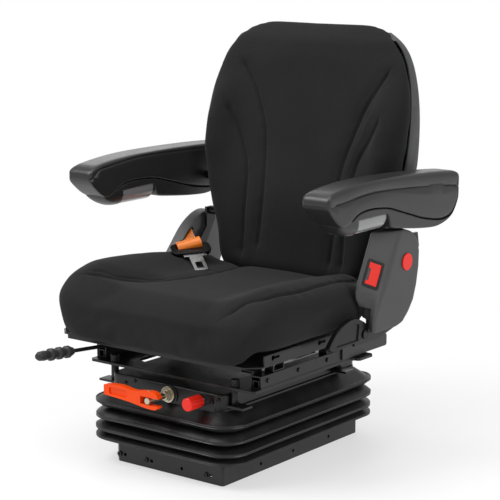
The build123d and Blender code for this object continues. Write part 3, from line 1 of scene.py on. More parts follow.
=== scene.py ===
"""Dressed visual model of a forklift operator's seat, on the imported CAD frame."""

import json
import logging
import math
from collections.abc import Callable
from dataclasses import dataclass, field
from enum import Enum

import bmesh
import bpy
import numpy as np
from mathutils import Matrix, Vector

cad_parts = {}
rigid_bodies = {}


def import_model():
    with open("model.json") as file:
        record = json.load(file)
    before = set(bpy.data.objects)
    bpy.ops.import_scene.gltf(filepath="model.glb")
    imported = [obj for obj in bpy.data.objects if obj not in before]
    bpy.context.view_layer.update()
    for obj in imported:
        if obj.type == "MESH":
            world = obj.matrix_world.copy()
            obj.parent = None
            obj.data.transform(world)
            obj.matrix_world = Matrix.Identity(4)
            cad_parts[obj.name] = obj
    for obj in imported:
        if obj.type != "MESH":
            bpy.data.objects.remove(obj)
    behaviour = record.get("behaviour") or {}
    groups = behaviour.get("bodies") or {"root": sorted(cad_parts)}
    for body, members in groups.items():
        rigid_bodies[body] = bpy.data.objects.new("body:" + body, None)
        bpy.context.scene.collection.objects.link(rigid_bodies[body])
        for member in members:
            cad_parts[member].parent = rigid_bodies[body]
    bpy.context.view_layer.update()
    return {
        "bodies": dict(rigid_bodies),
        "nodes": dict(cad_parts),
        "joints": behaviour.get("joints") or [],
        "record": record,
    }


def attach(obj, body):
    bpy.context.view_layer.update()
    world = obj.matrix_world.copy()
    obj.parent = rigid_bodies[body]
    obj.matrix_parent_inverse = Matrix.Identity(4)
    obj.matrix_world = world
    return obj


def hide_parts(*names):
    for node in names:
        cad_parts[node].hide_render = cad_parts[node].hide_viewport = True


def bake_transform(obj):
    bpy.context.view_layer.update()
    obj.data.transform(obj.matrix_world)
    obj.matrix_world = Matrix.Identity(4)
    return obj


LOG = logging.getLogger("seat")
MM = 0.001
Triple = tuple[float, float, float]
Line = tuple[tuple[float, float], ...]


# Numbers on grids

def smoothstep(low: float, high: float, value: np.ndarray) -> np.ndarray:
    """Rises from 0 at low to 1 at high as 3t^2 - 2t^3.

    Args:
        low: where the rise starts.
        high: where it ends.
        value: the numbers to map.

    Returns:
        The mapped numbers, from 0 to 1.
    """
    t = np.clip((value - low) / (high - low), 0.0, 1.0)
    return t * t * (3.0 - 2.0 * t)


def signed_power(value: np.ndarray, power: np.ndarray | float) -> np.ndarray:
    """sign(v) |v|^power, which squares up a cosine or a sine."""
    return np.sign(value) * np.abs(value) ** power


def curve_through(points: list[tuple[float, ...]], count: int) -> np.ndarray:
    """Smooth open curve through points: a Catmull-Rom spline sampled evenly by point index.

    Between points p1 and p2 it is 0.5 (2 p1 + (p2 - p0) t + (2 p0 - 5 p1 + 4 p2 - p3) t^2
    + (3 p1 - p0 - 3 p2 + p3) t^3).

    Args:
        points: the points, in order.
        count: how many samples.

    Returns:
        An array of count rows.
    """
    p = np.asarray(points, float)
    p = np.vstack([2 * p[0] - p[1], p, 2 * p[-1] - p[-2]])
    s = np.linspace(0.0, len(points) - 1.0, count)
    i = np.minimum(s.astype(int), len(points) - 2)
    t = (s - i)[:, None]
    a, b, c, d = p[i], p[i + 1], p[i + 2], p[i + 3]
    bend = (2 * a - 5 * b + 4 * c - d) * t ** 2 + (3 * b - a - 3 * c + d) * t ** 3
    return 0.5 * (2 * b + (c - a) * t + bend)


def distance_to(points: np.ndarray, path: np.ndarray) -> tuple[np.ndarray, np.ndarray]:
    """Shortest distance from each point to a path of straight runs.

    On a run from a to b the nearest point is a + clip((p - a).(b - a) / |b - a|^2, 0, 1) (b - a).

    Args:
        points: rows of coordinates.
        path: rows of the path's corners, in the same coordinates.

    Returns:
        The distances, and how far along the path each nearest point lies.
    """
    best = np.full(len(points), np.inf)
    along = np.zeros(len(points))
    travelled = 0.0
    for a, b in zip(path[:-1], path[1:]):
        run = b - a
        length = float(np.linalg.norm(run))
        t = np.clip((points - a) @ run / max(length ** 2, 1e-12), 0.0, 1.0)
        d = np.linalg.norm(points - (a + t[:, None] * run), axis=1)
        nearer = d < best
        best = np.where(nearer, d, best)
        along = np.where(nearer, travelled + t * length, along)
        travelled += length
    return best, along


# Meshes

def mesh_object(name: str, verts: np.ndarray, faces: list[tuple[int, ...]],
                smooth: bool = True) -> bpy.types.Object:
    """Makes an object at the origin from vertices in metres.

    Args:
        name: the piece's name.
        verts: vertex rows.
        faces: vertex numbers of each face.
        smooth: whether its faces are shaded smooth.

    Returns:
        The new object.
    """
    mesh = bpy.data.meshes.new(name)
    mesh.from_pydata(np.asarray(verts, float).tolist(), [], faces)
    mesh.validate()
    if smooth:
        mesh.shade_smooth()
    else:
        mesh.shade_flat()
    obj = bpy.data.objects.new(name, mesh)
    bpy.context.scene.collection.objects.link(obj)
    return obj


def grid_faces(rows: int, columns: int, closed: bool, start: int = 0) -> list[tuple[int, ...]]:
    """Quads of a grid of rows by columns.

    Args:
        rows: number of rows.
        columns: vertices in a row.
        closed: whether each row's end joins its start.
        start: number of the grid's first vertex.

    Returns:
        The faces.
    """
    last = columns if closed else columns - 1
    r, c = np.meshgrid(np.arange(rows - 1), np.arange(last), indexing="ij")
    n = (c + 1) % columns
    quads = np.stack([r * columns + c, r * columns + n, (r + 1) * columns + n, (r + 1) * columns + c], -1)
    return [tuple(q) for q in (quads.reshape(-1, 4) + start).tolist()]


def tube_surface(name: str, grid: np.ndarray, caps: bool = True) -> bpy.types.Object:
    """Skin over a stack of closed rings.

    Args:
        name: the piece's name.
        grid: array of shape (rings, ring points, 3), in metres.
        caps: whether the first and last ring are closed by a fan to their middle.

    Returns:
        The new object, its faces outwards.
    """
    rings, count, _ = grid.shape
    verts = grid.reshape(-1, 3)
    faces = grid_faces(rings, count, True)
    if caps:
        ends = np.vstack([grid[0].mean(0), grid[-1].mean(0)])
        first, last = len(verts), len(verts) + 1
        verts = np.vstack([verts, ends])
        top = (rings - 1) * count
        faces += [(first, (i + 1) % count, i) for i in range(count)]
        faces += [(last, top + i, top + (i + 1) % count) for i in range(count)]
    obj = mesh_object(name, verts, faces)
    outward(obj)
    return obj


def outward(obj: bpy.types.Object) -> None:
    """Merges doubled vertices and turns all faces outwards."""
    work = bmesh.new()
    work.from_mesh(obj.data)
    bmesh.ops.remove_doubles(work, verts=work.verts, dist=1e-6)
    bmesh.ops.recalc_face_normals(work, faces=work.faces)
    work.to_mesh(obj.data)
    work.free()


def coordinates(mesh: bpy.types.Mesh) -> np.ndarray:
    """All vertex positions of a mesh as rows."""
    flat = np.empty(len(mesh.vertices) * 3)
    mesh.vertices.foreach_get("co", flat)
    return flat.reshape(-1, 3)


def set_coordinates(mesh: bpy.types.Mesh, verts: np.ndarray) -> None:
    """Writes all vertex positions of a mesh."""
    mesh.vertices.foreach_set("co", np.ascontiguousarray(verts, float).ravel())
    mesh.update()


def vertex_normals(mesh: bpy.types.Mesh) -> np.ndarray:
    """All vertex normals of a mesh as rows."""
    flat = np.empty(len(mesh.vertices) * 3)
    mesh.vertex_normals.foreach_get("vector", flat)
    return flat.reshape(-1, 3)


def subdivide(obj: bpy.types.Object, levels: int) -> None:
    """Adds a subdivision surface that is alike in view and render."""
    modifier = obj.modifiers.new("smooth", "SUBSURF")
    modifier.levels = modifier.render_levels = levels


def apply_modifiers(obj: bpy.types.Object) -> None:
    """Bakes an object's modifiers into its mesh."""
    graph = bpy.context.evaluated_depsgraph_get()
    mesh = bpy.data.meshes.new_from_object(obj.evaluated_get(graph))
    obj.modifiers.clear()
    obj.data = mesh


def soften(obj: bpy.types.Object, width: float, segments: int = 2, angle: float = 35.0) -> None:
    """Rounds the hard edges of a CAD node or a copy by a small bevel.

    Args:
        obj: the object.
        width: bevel width in mm.
        segments: bevel segments.
        angle: edges sharper than this many degrees are rounded.
    """
    weld = obj.modifiers.new("weld", "WELD")
    weld.merge_threshold = 1e-5
    bevel = obj.modifiers.new("edge", "BEVEL")
    bevel.width = width * MM
    bevel.segments = segments
    bevel.limit_method = "ANGLE"
    bevel.angle_limit = math.radians(angle)
    bevel.use_clamp_overlap = True
    bevel.harden_normals = True


# Shader building

def feed(tree: bpy.types.NodeTree, socket: bpy.types.NodeSocket, value: object) -> None:
    """Fills an input: an output is linked, a value is written, and a colour of three numbers gets its alpha.

    Args:
        tree: the node tree.
        socket: the input.
        value: a Sock, a number or a tuple.
    """
    if isinstance(value, Sock):
        tree.links.new(value.out, socket)
    elif socket.type == "RGBA" and len(value) == 3:
        socket.default_value = (*value, 1.0)
    else:
        socket.default_value = value


class Sock:
    """A shader output with arithmetic: each expression adds Math nodes."""

    def __init__(self, tree: bpy.types.NodeTree, out: bpy.types.NodeSocket) -> None:
        """Keeps the tree and the output it stands for."""
        self.tree, self.out = tree, out

    def _math(self, operation: str, *values: "Sock | float") -> "Sock":
        """One Math node.

        Args:
            operation: Blender's name of the operation.
            values: its inputs.

        Returns:
            Its output.
        """
        node = self.tree.nodes.new("ShaderNodeMath")
        node.operation = operation
        for socket, value in zip(node.inputs, values):
            feed(self.tree, socket, value)
        return Sock(self.tree, node.outputs[0])

    @staticmethod
    def _operator(operation: str, swapped: bool = False) -> Callable[["Sock", "Sock | float"], "Sock"]:
        """Makes the method behind an arithmetic sign.

        Args:
            operation: Blender's name of the operation.
            swapped: whether the other value comes first.

        Returns:
            The method.
        """
        def method(self: "Sock", other: "Sock | float") -> "Sock":
            """Adds the Math node."""
            return self._math(operation, *((other, self) if swapped else (self, other)))
        return method

    __add__, __radd__ = _operator("ADD"), _operator("ADD", True)
    __sub__, __rsub__ = _operator("SUBTRACT"), _operator("SUBTRACT", True)
    __mul__, __rmul__ = _operator("MULTIPLY"), _operator("MULTIPLY", True)
    __pow__ = _operator("POWER")

    def sine(self) -> "Sock":
        """sin(a)."""
        return self._math("SINE", self)

    def clamp(self) -> "Sock":
        """a held between 0 and 1."""
        return self._math("MAXIMUM", self._math("MINIMUM", self, 1.0), 0.0)


class Shader:
    """One material under construction."""

    def __init__(self, name: str) -> None:
        """Starts a material with a Principled shader."""
        self.material = bpy.data.materials.new(name)
        self.material.use_nodes = True
        self.tree = self.material.node_tree
        self.body = self.tree.nodes["Principled BSDF"]

    def node(self, kind: str, settings: dict | None = None, numbered: dict[int, object] | None = None,
             **named: object) -> bpy.types.Node:
        """Adds one node.

        Args:
            kind: node type.
            settings: properties, set before its inputs.
            numbered: values or outputs for inputs by number.
            named: values or outputs for inputs by name, an underscore standing for a space.

        Returns:
            The node.
        """
        made = self.tree.nodes.new(kind)
        for key, value in (settings or {}).items():
            setattr(made, key, value)
        for number, value in (numbered or {}).items():
            feed(self.tree, made.inputs[number], value)
        for key, value in named.items():
            feed(self.tree, made.inputs[key.replace("_", " ")], value)
        return made

    def sock(self, node: bpy.types.Node, output: str | int = 0) -> Sock:
        """Wraps an output of a node."""
        return Sock(self.tree, node.outputs[output])

    def place(self) -> Sock:
        """Object coordinates."""
        return self.sock(self.node("ShaderNodeTexCoord"), "Object")

    def axis(self, name: str, place: Sock | None = None) -> Sock:
        """One component of a position."""
        split = self.node("ShaderNodeSeparateXYZ", Vector=place or self.place())
        return self.sock(split, name)

    def noise(self, scale: float, detail: float = 4.0, stretch: Triple | None = None) -> Sock:
        """Cloudy noise over Object coordinates.

        Args:
            scale: cycles per metre.
            detail: octaves.
            stretch: scale of each axis before the noise.

        Returns:
            Its value, about 0.5 in the middle.
        """
        place = self.place()
        if stretch:
            place = self.sock(self.node("ShaderNodeMapping", Vector=place, Scale=stretch))
        return self.sock(self.node("ShaderNodeTexNoise", Vector=place, Scale=scale, Detail=detail), "Fac")

    def mix(self, factor: Sock | float, low: object, high: object) -> Sock:
        """Mixes two colours.

        Args:
            factor: 0 gives the first, 1 the second.
            low: a colour or an output.
            high: a colour or an output.

        Returns:
            The mixed colour.
        """
        return self.sock(self.node("ShaderNodeMix", {"data_type": "RGBA"}, {0: factor, 6: low, 7: high}), 2)

    def set(self, **sockets: object) -> None:
        """Sets or links sockets of the Principled shader."""
        for key, value in sockets.items():
            feed(self.tree, self.body.inputs[key.replace("_", " ")], value)

    def relief(self, height: Sock, strength: float, depth: float) -> None:
        """Drives the surface normal by a height.

        Args:
            height: the height, 0 to 1.
            strength: share of the bump.
            depth: full height in metres.
        """
        bump = self.node("ShaderNodeBump", Height=height, Strength=strength, Distance=depth)
        self.set(Normal=self.sock(bump))


def toned(colour: Triple, share: float) -> Triple:
    """A colour times a share, held at 1."""
    return tuple(min(c * share, 1.0) for c in colour)


@dataclass(frozen=True)
class MouldedPlastic:
    """Grained plastic with slightly rubbed high spots."""

    name: str
    colour: Triple
    rough: float = 0.45
    grain: float = 900.0
    depth: float = 0.00012
    coat: float = 0.0
    spread: float = 0.2
    shine: float = 0.5

    def make(self) -> bpy.types.Material:
        """Builds the material: voronoi grain, cloudy tint and gloss."""
        s = Shader(self.name)
        cloud = s.noise(14.0, 5.0)
        fine = s.noise(160.0, 3.0)
        tint = (cloud - 0.5) * self.spread + (fine - 0.5) * (self.spread * 0.5) + 0.5
        colour = s.mix(tint.clamp(), toned(self.colour, 0.82), toned(self.colour, 1.22))
        cells = s.node("ShaderNodeTexVoronoi", {"feature": "SMOOTH_F1"}, Vector=s.place(), Scale=self.grain)
        s.set(Base_Color=colour, Roughness=(cloud - 0.5) * 0.16 + (fine - 0.5) * 0.1 + self.rough,
              Specular_IOR_Level=self.shine, Coat_Weight=self.coat, Coat_Roughness=0.18)
        s.relief(s.sock(cells), 0.6, self.depth)
        return s.material


@dataclass(frozen=True)
class BlackPaint:
    """Satin powder coat with orange peel, dust on flat faces and worn specks."""

    name: str
    colour: Triple = (0.008, 0.008, 0.0085)
    rough: float = 0.32

    def make(self) -> bpy.types.Material:
        """Builds the material."""
        s = Shader(self.name)
        cloud = s.noise(9.0, 6.0)
        peel = s.noise(420.0, 2.0)
        dust = (s.noise(60.0, 8.0) - 0.55) * 3.0
        share = (dust.clamp() * 0.25 + (cloud - 0.5) * 0.3).clamp()
        colour = s.mix(share, self.colour, (0.042, 0.041, 0.039))
        s.set(Base_Color=colour, Roughness=dust.clamp() * 0.2 + (cloud - 0.5) * 0.15 + self.rough,
              Specular_IOR_Level=0.35)
        s.relief(peel, 0.35, 0.0001)
        return s.material


@dataclass(frozen=True)
class Metal:
    """Plated or polished metal with fine streaks and a little tarnish."""

    name: str
    colour: Triple
    rough: float
    streak: Triple = (1.0, 1.0, 1.0)

    def make(self) -> bpy.types.Material:
        """Builds the material."""
        s = Shader(self.name)
        streaks = s.noise(500.0, 3.0, self.streak)
        cloud = s.noise(40.0, 5.0)
        colour = s.mix((cloud * 1.4 - 0.3).clamp(), toned(self.colour, 0.7), self.colour)
        s.set(Base_Color=colour, Metallic=1.0,
              Roughness=(streaks - 0.5) * 0.2 + (cloud - 0.5) * 0.12 + self.rough)
        s.relief(streaks, 0.25, 0.00006)
        return s.material


@dataclass(frozen=True)
class Rubber:
    """Black rubber with a matt bloom and fine moulding texture."""

    name: str
    colour: Triple = (0.016, 0.016, 0.017)
    rough: float = 0.48

    def make(self) -> bpy.types.Material:
        """Builds the material."""
        s = Shader(self.name)
        bloom = s.noise(22.0, 7.0)
        fine = s.noise(700.0, 2.0)
        colour = s.mix(((bloom - 0.45) * 2.2).clamp(), self.colour, toned(self.colour, 2.0))
        s.set(Base_Color=colour, Roughness=(bloom - 0.5) * 0.25 + self.rough, Specular_IOR_Level=0.45)
        s.relief(fine, 0.4, 0.00012)
        return s.material


@dataclass(frozen=True)
class WovenCover:
    """Black seat cloth: fine weave, soft nap, faint lighter fibres."""

    name: str
    colour: Triple = (0.0085, 0.0085, 0.0086)
    fibre: Triple = (0.028, 0.028, 0.0282)
    pitch: float = 1.3

    def make(self) -> bpy.types.Material:
        """Builds the material: crossing threads as a product of sines, broken up by noise."""
        s = Shader(self.name)
        turns = 2.0 * math.pi / (self.pitch * MM)
        wobble = (s.noise(130.0, 3.0) - 0.5) * 2.4
        across = (s.axis("X") * turns + wobble).sine()
        along = ((s.axis("Y") * 0.75 + s.axis("Z") * 0.75) * turns + wobble).sine()
        weave = across * along * 0.5 + 0.5
        nap = s.noise(900.0, 4.0)
        cloud = s.noise(7.0, 4.0)
        lift = (weave * 0.45 + (nap - 0.35) * 0.9 + (cloud - 0.5) * 0.5).clamp()
        s.set(Base_Color=s.mix(lift, self.colour, self.fibre), Roughness=0.92 - (nap - 0.5) * 0.15,
              Sheen_Weight=0.1, Sheen_Roughness=0.4, Sheen_Tint=(0.7, 0.7, 0.7), Specular_IOR_Level=0.14)
        s.relief(weave * 0.6 + nap * 0.6, 0.7, 0.0003)
        return s.material


@dataclass(frozen=True)
class BeltWebbing:
    """Shiny orange webbing with ribs along its length."""

    name: str
    colour: Triple = (1.0, 0.24, 0.01)

    def make(self) -> bpy.types.Material:
        """Builds the material; the ribs follow the piece's own UV map."""
        s = Shader(self.name)
        uv = s.sock(s.node("ShaderNodeUVMap", {"uv_map": "length"}))
        ribs = (s.axis("X", uv) * (2.0 * math.pi * 22.0)).sine() * 0.5 + 0.5
        cross = (s.axis("Y", uv) * (2.0 * math.pi * 60.0)).sine() * 0.5 + 0.5
        s.set(Base_Color=s.mix(ribs * 0.6 + cross * 0.2, toned(self.colour, 0.8), self.colour),
              Roughness=0.36 + ribs * 0.08, Coat_Weight=0.25, Coat_Roughness=0.25)
        s.relief(ribs * 0.7 + cross * 0.4, 0.4, 0.0003)
        return s.material


class Look(Enum):
    """Every finish on the seat."""

    PAINT = BlackPaint("satin_black_paint")
    PAINT_TRAY = BlackPaint("tray_black_paint", (0.026, 0.026, 0.027), 0.42)
    ZINC = Metal("zinc_plated_steel", (0.66, 0.6, 0.46), 0.32)
    CHROME = Metal("chromed_steel", (0.78, 0.78, 0.78), 0.14)
    STEEL = Metal("blank_steel", (0.6, 0.6, 0.6), 0.24, (1.0, 6.0, 1.0))
    RUBBER = Rubber("moulded_rubber")
    BELLOWS = Rubber("bellows_rubber", (0.013, 0.013, 0.014), 0.33)
    CLOTH = WovenCover("woven_seat_cover")
    ARMREST = MouldedPlastic("armrest_skin", (0.016, 0.016, 0.0165), 0.36, 700.0, 0.0002)
    BLACK = MouldedPlastic("black_moulding", (0.014, 0.014, 0.015), 0.4)
    GREY = MouldedPlastic("grey_moulding", (0.042, 0.042, 0.0425), 0.44, 1000.0, 0.00015)
    GREY_LIGHT = MouldedPlastic("light_grey_moulding", (0.1, 0.101, 0.103), 0.5, 1000.0, 0.00015)
    GLOSS = MouldedPlastic("glossy_black_moulding", (0.0025, 0.0025, 0.0027), 0.3, 600.0, 0.00004, shine=0.3)
    SHELL = MouldedPlastic("back_shell_moulding", (0.045, 0.046, 0.048), 0.46)
    ORANGE = MouldedPlastic("orange_moulding", (1.0, 0.068, 0.002), 0.4, 500.0, 0.00005, 0.0, 0.1, 0.2)
    RED = MouldedPlastic("red_moulding", (0.82, 0.021, 0.01), 0.32, 500.0, 0.00004, 0.0, 0.1, 0.3)
    ROLLER = MouldedPlastic("clear_grey_roller", (0.2, 0.203, 0.206), 0.2, 300.0, 0.00005, 0.4, 0.3)
    NYLON = MouldedPlastic("natural_nylon", (0.72, 0.71, 0.66), 0.4)
    WEBBING = BeltWebbing("orange_webbing")


class Wardrobe:
    """Makes each finish once and puts it on pieces."""

    def __init__(self) -> None:
        """Starts with no material made."""
        self.made: dict[Look, bpy.types.Material] = {}

    def dress(self, obj: bpy.types.Object, look: Look) -> None:
        """Gives an object one finish on every face."""
        if look not in self.made:
            self.made[look] = look.value.make()
        obj.data.materials.clear()
        obj.data.materials.append(self.made[look])


@dataclass
class Studio:
    """Pale floor, soft lamps and the photograph's camera."""

    azimuth: float = 37.75
    elevation: float = 10.95
    target: Triple = (0.0414, -0.0123, 0.3725)
    distance: float = 3.0672
    lens: float = 123.85
    lamps: tuple[tuple[str, float, float, float, float, float], ...] = (
        ("key", -40.0, 48.0, 3.2, 1.6, 60.0), ("fill", 95.0, 30.0, 3.4, 2.0, 38.0),
        ("top", 10.0, 85.0, 2.6, 1.8, 30.0), ("rim", -142.0, 28.0, 3.2, 1.8, 15.0))

    def direction(self, azimuth: float, elevation: float) -> Vector:
        """Unit vector from the object towards a place given by its angles."""
        a, e = math.radians(azimuth), math.radians(elevation)
        return Vector((math.sin(a) * math.cos(e), -math.cos(a) * math.cos(e), math.sin(e)))

    def camera(self) -> None:
        """Sets the scene's camera."""
        data = bpy.data.cameras.new("camera")
        data.lens, data.sensor_width = self.lens, 36.0
        data.clip_end = 60.0
        obj = bpy.data.objects.new("camera", data)
        bpy.context.scene.collection.objects.link(obj)
        toward = self.direction(self.azimuth, self.elevation)
        obj.location = Vector(self.target) + toward * self.distance
        obj.rotation_euler = (-toward).to_track_quat("-Z", "Y").to_euler()
        bpy.context.scene.camera = obj

    def lamp(self, name: str, azimuth: float, elevation: float, reach: float, size: float,
             power: float) -> None:
        """Adds a square soft lamp that faces the seat.

        Args:
            name: lamp's name.
            azimuth: its direction round the seat, in degrees.
            elevation: its height angle, in degrees.
            reach: its distance in metres.
            size: its side in metres.
            power: its power in watts.
        """
        data = bpy.data.lights.new(name, "AREA")
        data.size, data.energy = size, power
        obj = bpy.data.objects.new(name, data)
        bpy.context.scene.collection.objects.link(obj)
        toward = self.direction(azimuth, elevation)
        obj.location = Vector((0.0, 0.0, 0.4)) + toward * reach
        obj.rotation_euler = (-toward).to_track_quat("-Z", "Y").to_euler()

    def floor(self) -> None:
        """Adds the pale floor, which the camera and reflections see as plain white."""
        verts = np.array(((-1, -1, 0), (1, -1, 0), (1, 1, 0), (-1, 1, 0))) * 14.0 - (0, 0, 0.0004)
        obj = mesh_object("floor", verts, [(0, 1, 2, 3)], False)
        s = Shader("pale_floor")
        s.set(Base_Color=(0.9, 0.9, 0.9), Roughness=0.6, Specular_IOR_Level=0.2)
        path = s.node("ShaderNodeLightPath")
        kinds = ("Camera", "Glossy", "Transmission")
        camera, glossy, through = (s.sock(path, f"Is {kind} Ray") for kind in kinds)
        seen = (camera + glossy + through).clamp()
        place = s.place()
        x, y = s.axis("X", place), s.axis("Y", place)
        reach = (x * x + y * y) ** 0.5
        share = ((reach - 0.25) * 0.9).clamp() * 0.45 + 0.55
        white = s.node("ShaderNodeEmission", Color=(1.0, 1.0, 1.0), Strength=1.0)
        mixed = s.node("ShaderNodeMixShader", None, {0: seen * share, 1: s.sock(s.body), 2: s.sock(white)})
        feed(s.tree, s.tree.nodes["Material Output"].inputs["Surface"], s.sock(mixed))
        obj.data.materials.append(s.material)

    def world(self) -> None:
        """Even soft surroundings; white where the camera or a reflection looks past the floor."""
        world = bpy.data.worlds.new("studio")
        bpy.context.scene.world = world
        world.use_nodes = True
        tree = world.node_tree
        back = tree.nodes["Background"]
        feed(tree, back.inputs["Color"], (1.0, 1.0, 1.0))
        path = tree.nodes.new("ShaderNodeLightPath")
        camera, glossy = (Sock(tree, path.outputs[f"Is {kind} Ray"]) for kind in ("Camera", "Glossy"))
        seen = camera * 0.55 + glossy * 0.1
        feed(tree, back.inputs["Strength"], (seen + 0.45).clamp())

    def build(self) -> None:
        """Sets up camera, floor, world and lamps."""
        scene = bpy.context.scene
        scene.view_settings.view_transform = "Standard"
        self.camera()
        self.floor()
        self.world()
        for name, azimuth, elevation, reach, size, power in self.lamps:
            self.lamp(name, azimuth, elevation, reach, size, power)


def ride(obj: bpy.types.Object, body: str, *nodes: str) -> None:
    """Hands a finished piece to the frame.

    Args:
        obj: the piece.
        body: the CAD body it moves with.
        nodes: CAD nodes that it stands for.
    """
    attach(obj, body)
    if nodes:
        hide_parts(*nodes)
    LOG.info("%s: %d vertices on %s", obj.name, len(obj.data.vertices), body)


@dataclass
class PaddedForm:
    """A foam cushion: closed surface, swollen as cloth, then sewn."""

    name: str
    slot: str
    body: str
    node: str
    voxel: float = 5.0
    swell: float = 7.0
    pressure: float = 4.0
    settling: int = 6
    seams: list[np.ndarray] = field(default_factory=list)
    thread: tuple[float, float] = (3.2, 4.2)
    valley: tuple[float, float] = (15.0, 4.5)
    run_out: float = 22.0

    @staticmethod
    def edge_rows(radius: np.ndarray | float, sign: float, power: float,
                  rows: tuple[int, int]) -> list[np.ndarray]:
        """Rows from the waist over a quarter ellipse of the edge, then in to the middle.

        On the edge the inset is r (1 - cos^p a) and the height share sin^p a, for a up to a right angle.

        Args:
            radius: radius of the edge, in mm, alike or for each point of the outline.
            sign: 1 for the upper or front half, -1 for the other.
            power: p.
            rows: number of rows on the edge and inside it, counting both ends.

        Returns:
            Inset, signed height share and scale of each row.
        """
        turn = np.linspace(0.0, 0.5 * math.pi, rows[0])[1:, None]
        shrink = np.linspace(1.0, 0.0, rows[1])[1:, None] * 0.999 + 0.001
        one = np.ones_like(shrink)
        inset = np.concatenate([radius * (1.0 - np.cos(turn) ** power), radius * one])
        rise = sign * np.concatenate([np.sin(turn) ** power, one])
        return [inset, rise, np.concatenate([np.ones_like(turn), shrink])]

    def closed_form(self) -> np.ndarray:
        """Rings of the cushion's surface, in metres."""
        raise NotImplementedError

    def settle(self, verts: np.ndarray) -> np.ndarray:
        """Pushes vertices back from what the cushion rests on."""
        raise NotImplementedError

    def seam_space(self, verts: np.ndarray) -> tuple[np.ndarray, np.ndarray]:
        """Two coordinates in which the seams are drawn, and where they bite.

        Args:
            verts: vertex rows in metres.

        Returns:
            Rows of two coordinates in mm, and a weight per vertex.
        """
        raise NotImplementedError

    def inflate(self, obj: bpy.types.Object) -> None:
        """Runs the cloth and keeps each vertex within the cap of its start."""
        remesh = obj.modifiers.new("even", "REMESH")
        remesh.mode = "VOXEL"
        remesh.voxel_size = self.voxel * MM
        apply_modifiers(obj)
        start = coordinates(obj.data)
        cloth = obj.modifiers.new("cloth", "CLOTH")
        cloth.settings.use_pressure = True
        cloth.settings.uniform_pressure_force = self.pressure
        cloth.settings.quality = 5
        cloth.settings.tension_stiffness = 18.0
        cloth.settings.bending_stiffness = 6.0
        cloth.settings.effector_weights.gravity = 0.0
        scene = bpy.context.scene
        for frame in range(1, 21):
            scene.frame_set(frame)
        apply_modifiers(obj)
        scene.frame_set(1)
        moved = coordinates(obj.data) - start
        length = np.linalg.norm(moved, axis=1, keepdims=True)
        limit = self.swell * MM
        scale = limit * np.tanh(length / limit) / np.maximum(length, 1e-9)
        set_coordinates(obj.data, start + moved * scale)
        relax = obj.modifiers.new("relax", "SMOOTH")
        relax.factor, relax.iterations = 0.5, self.settling
        subdivide(obj, 1)
        apply_modifiers(obj)
        set_coordinates(obj.data, self.settle(coordinates(obj.data)))

    def sew(self, obj: bpy.types.Object) -> None:
        """Sinks the seams: depth exp(-(d / w)^2) plus small puckers beside the thread."""
        verts = coordinates(obj.data)
        normals = vertex_normals(obj.data)
        flat, weight = self.seam_space(verts)
        sink = np.zeros(len(verts))
        for path in self.seams:
            d, along = distance_to(flat, path)
            narrow = np.exp(-(d / self.thread[0]) ** 2) * self.thread[1]
            wide = np.exp(-(d / self.valley[0]) ** 2) * self.valley[1]
            pucker = np.sin(along / 7.5 + 1.7 * np.sin(along / 23.0)) * 0.5
            pucker = pucker * np.exp(-((d - 7.0) / 5.0) ** 2)
            last = along.max()
            ends = smoothstep(0.0, self.run_out, along) * (1.0 - smoothstep(last - self.run_out, last, along))
            sink = np.maximum(sink, (narrow + wide + pucker) * (0.25 + 0.75 * ends))
        verts -= normals * (sink * weight * MM)[:, None]
        set_coordinates(obj.data, verts)

    def build(self, wardrobe: Wardrobe) -> bpy.types.Object:
        """Makes the cushion and hands it over."""
        obj = tube_surface(self.name, self.closed_form())
        self.inflate(obj)
        self.sew(obj)
        obj.data.shade_smooth()
        wardrobe.dress(obj, Look.CLOTH)
        ride(obj, self.body, self.node)
        return obj


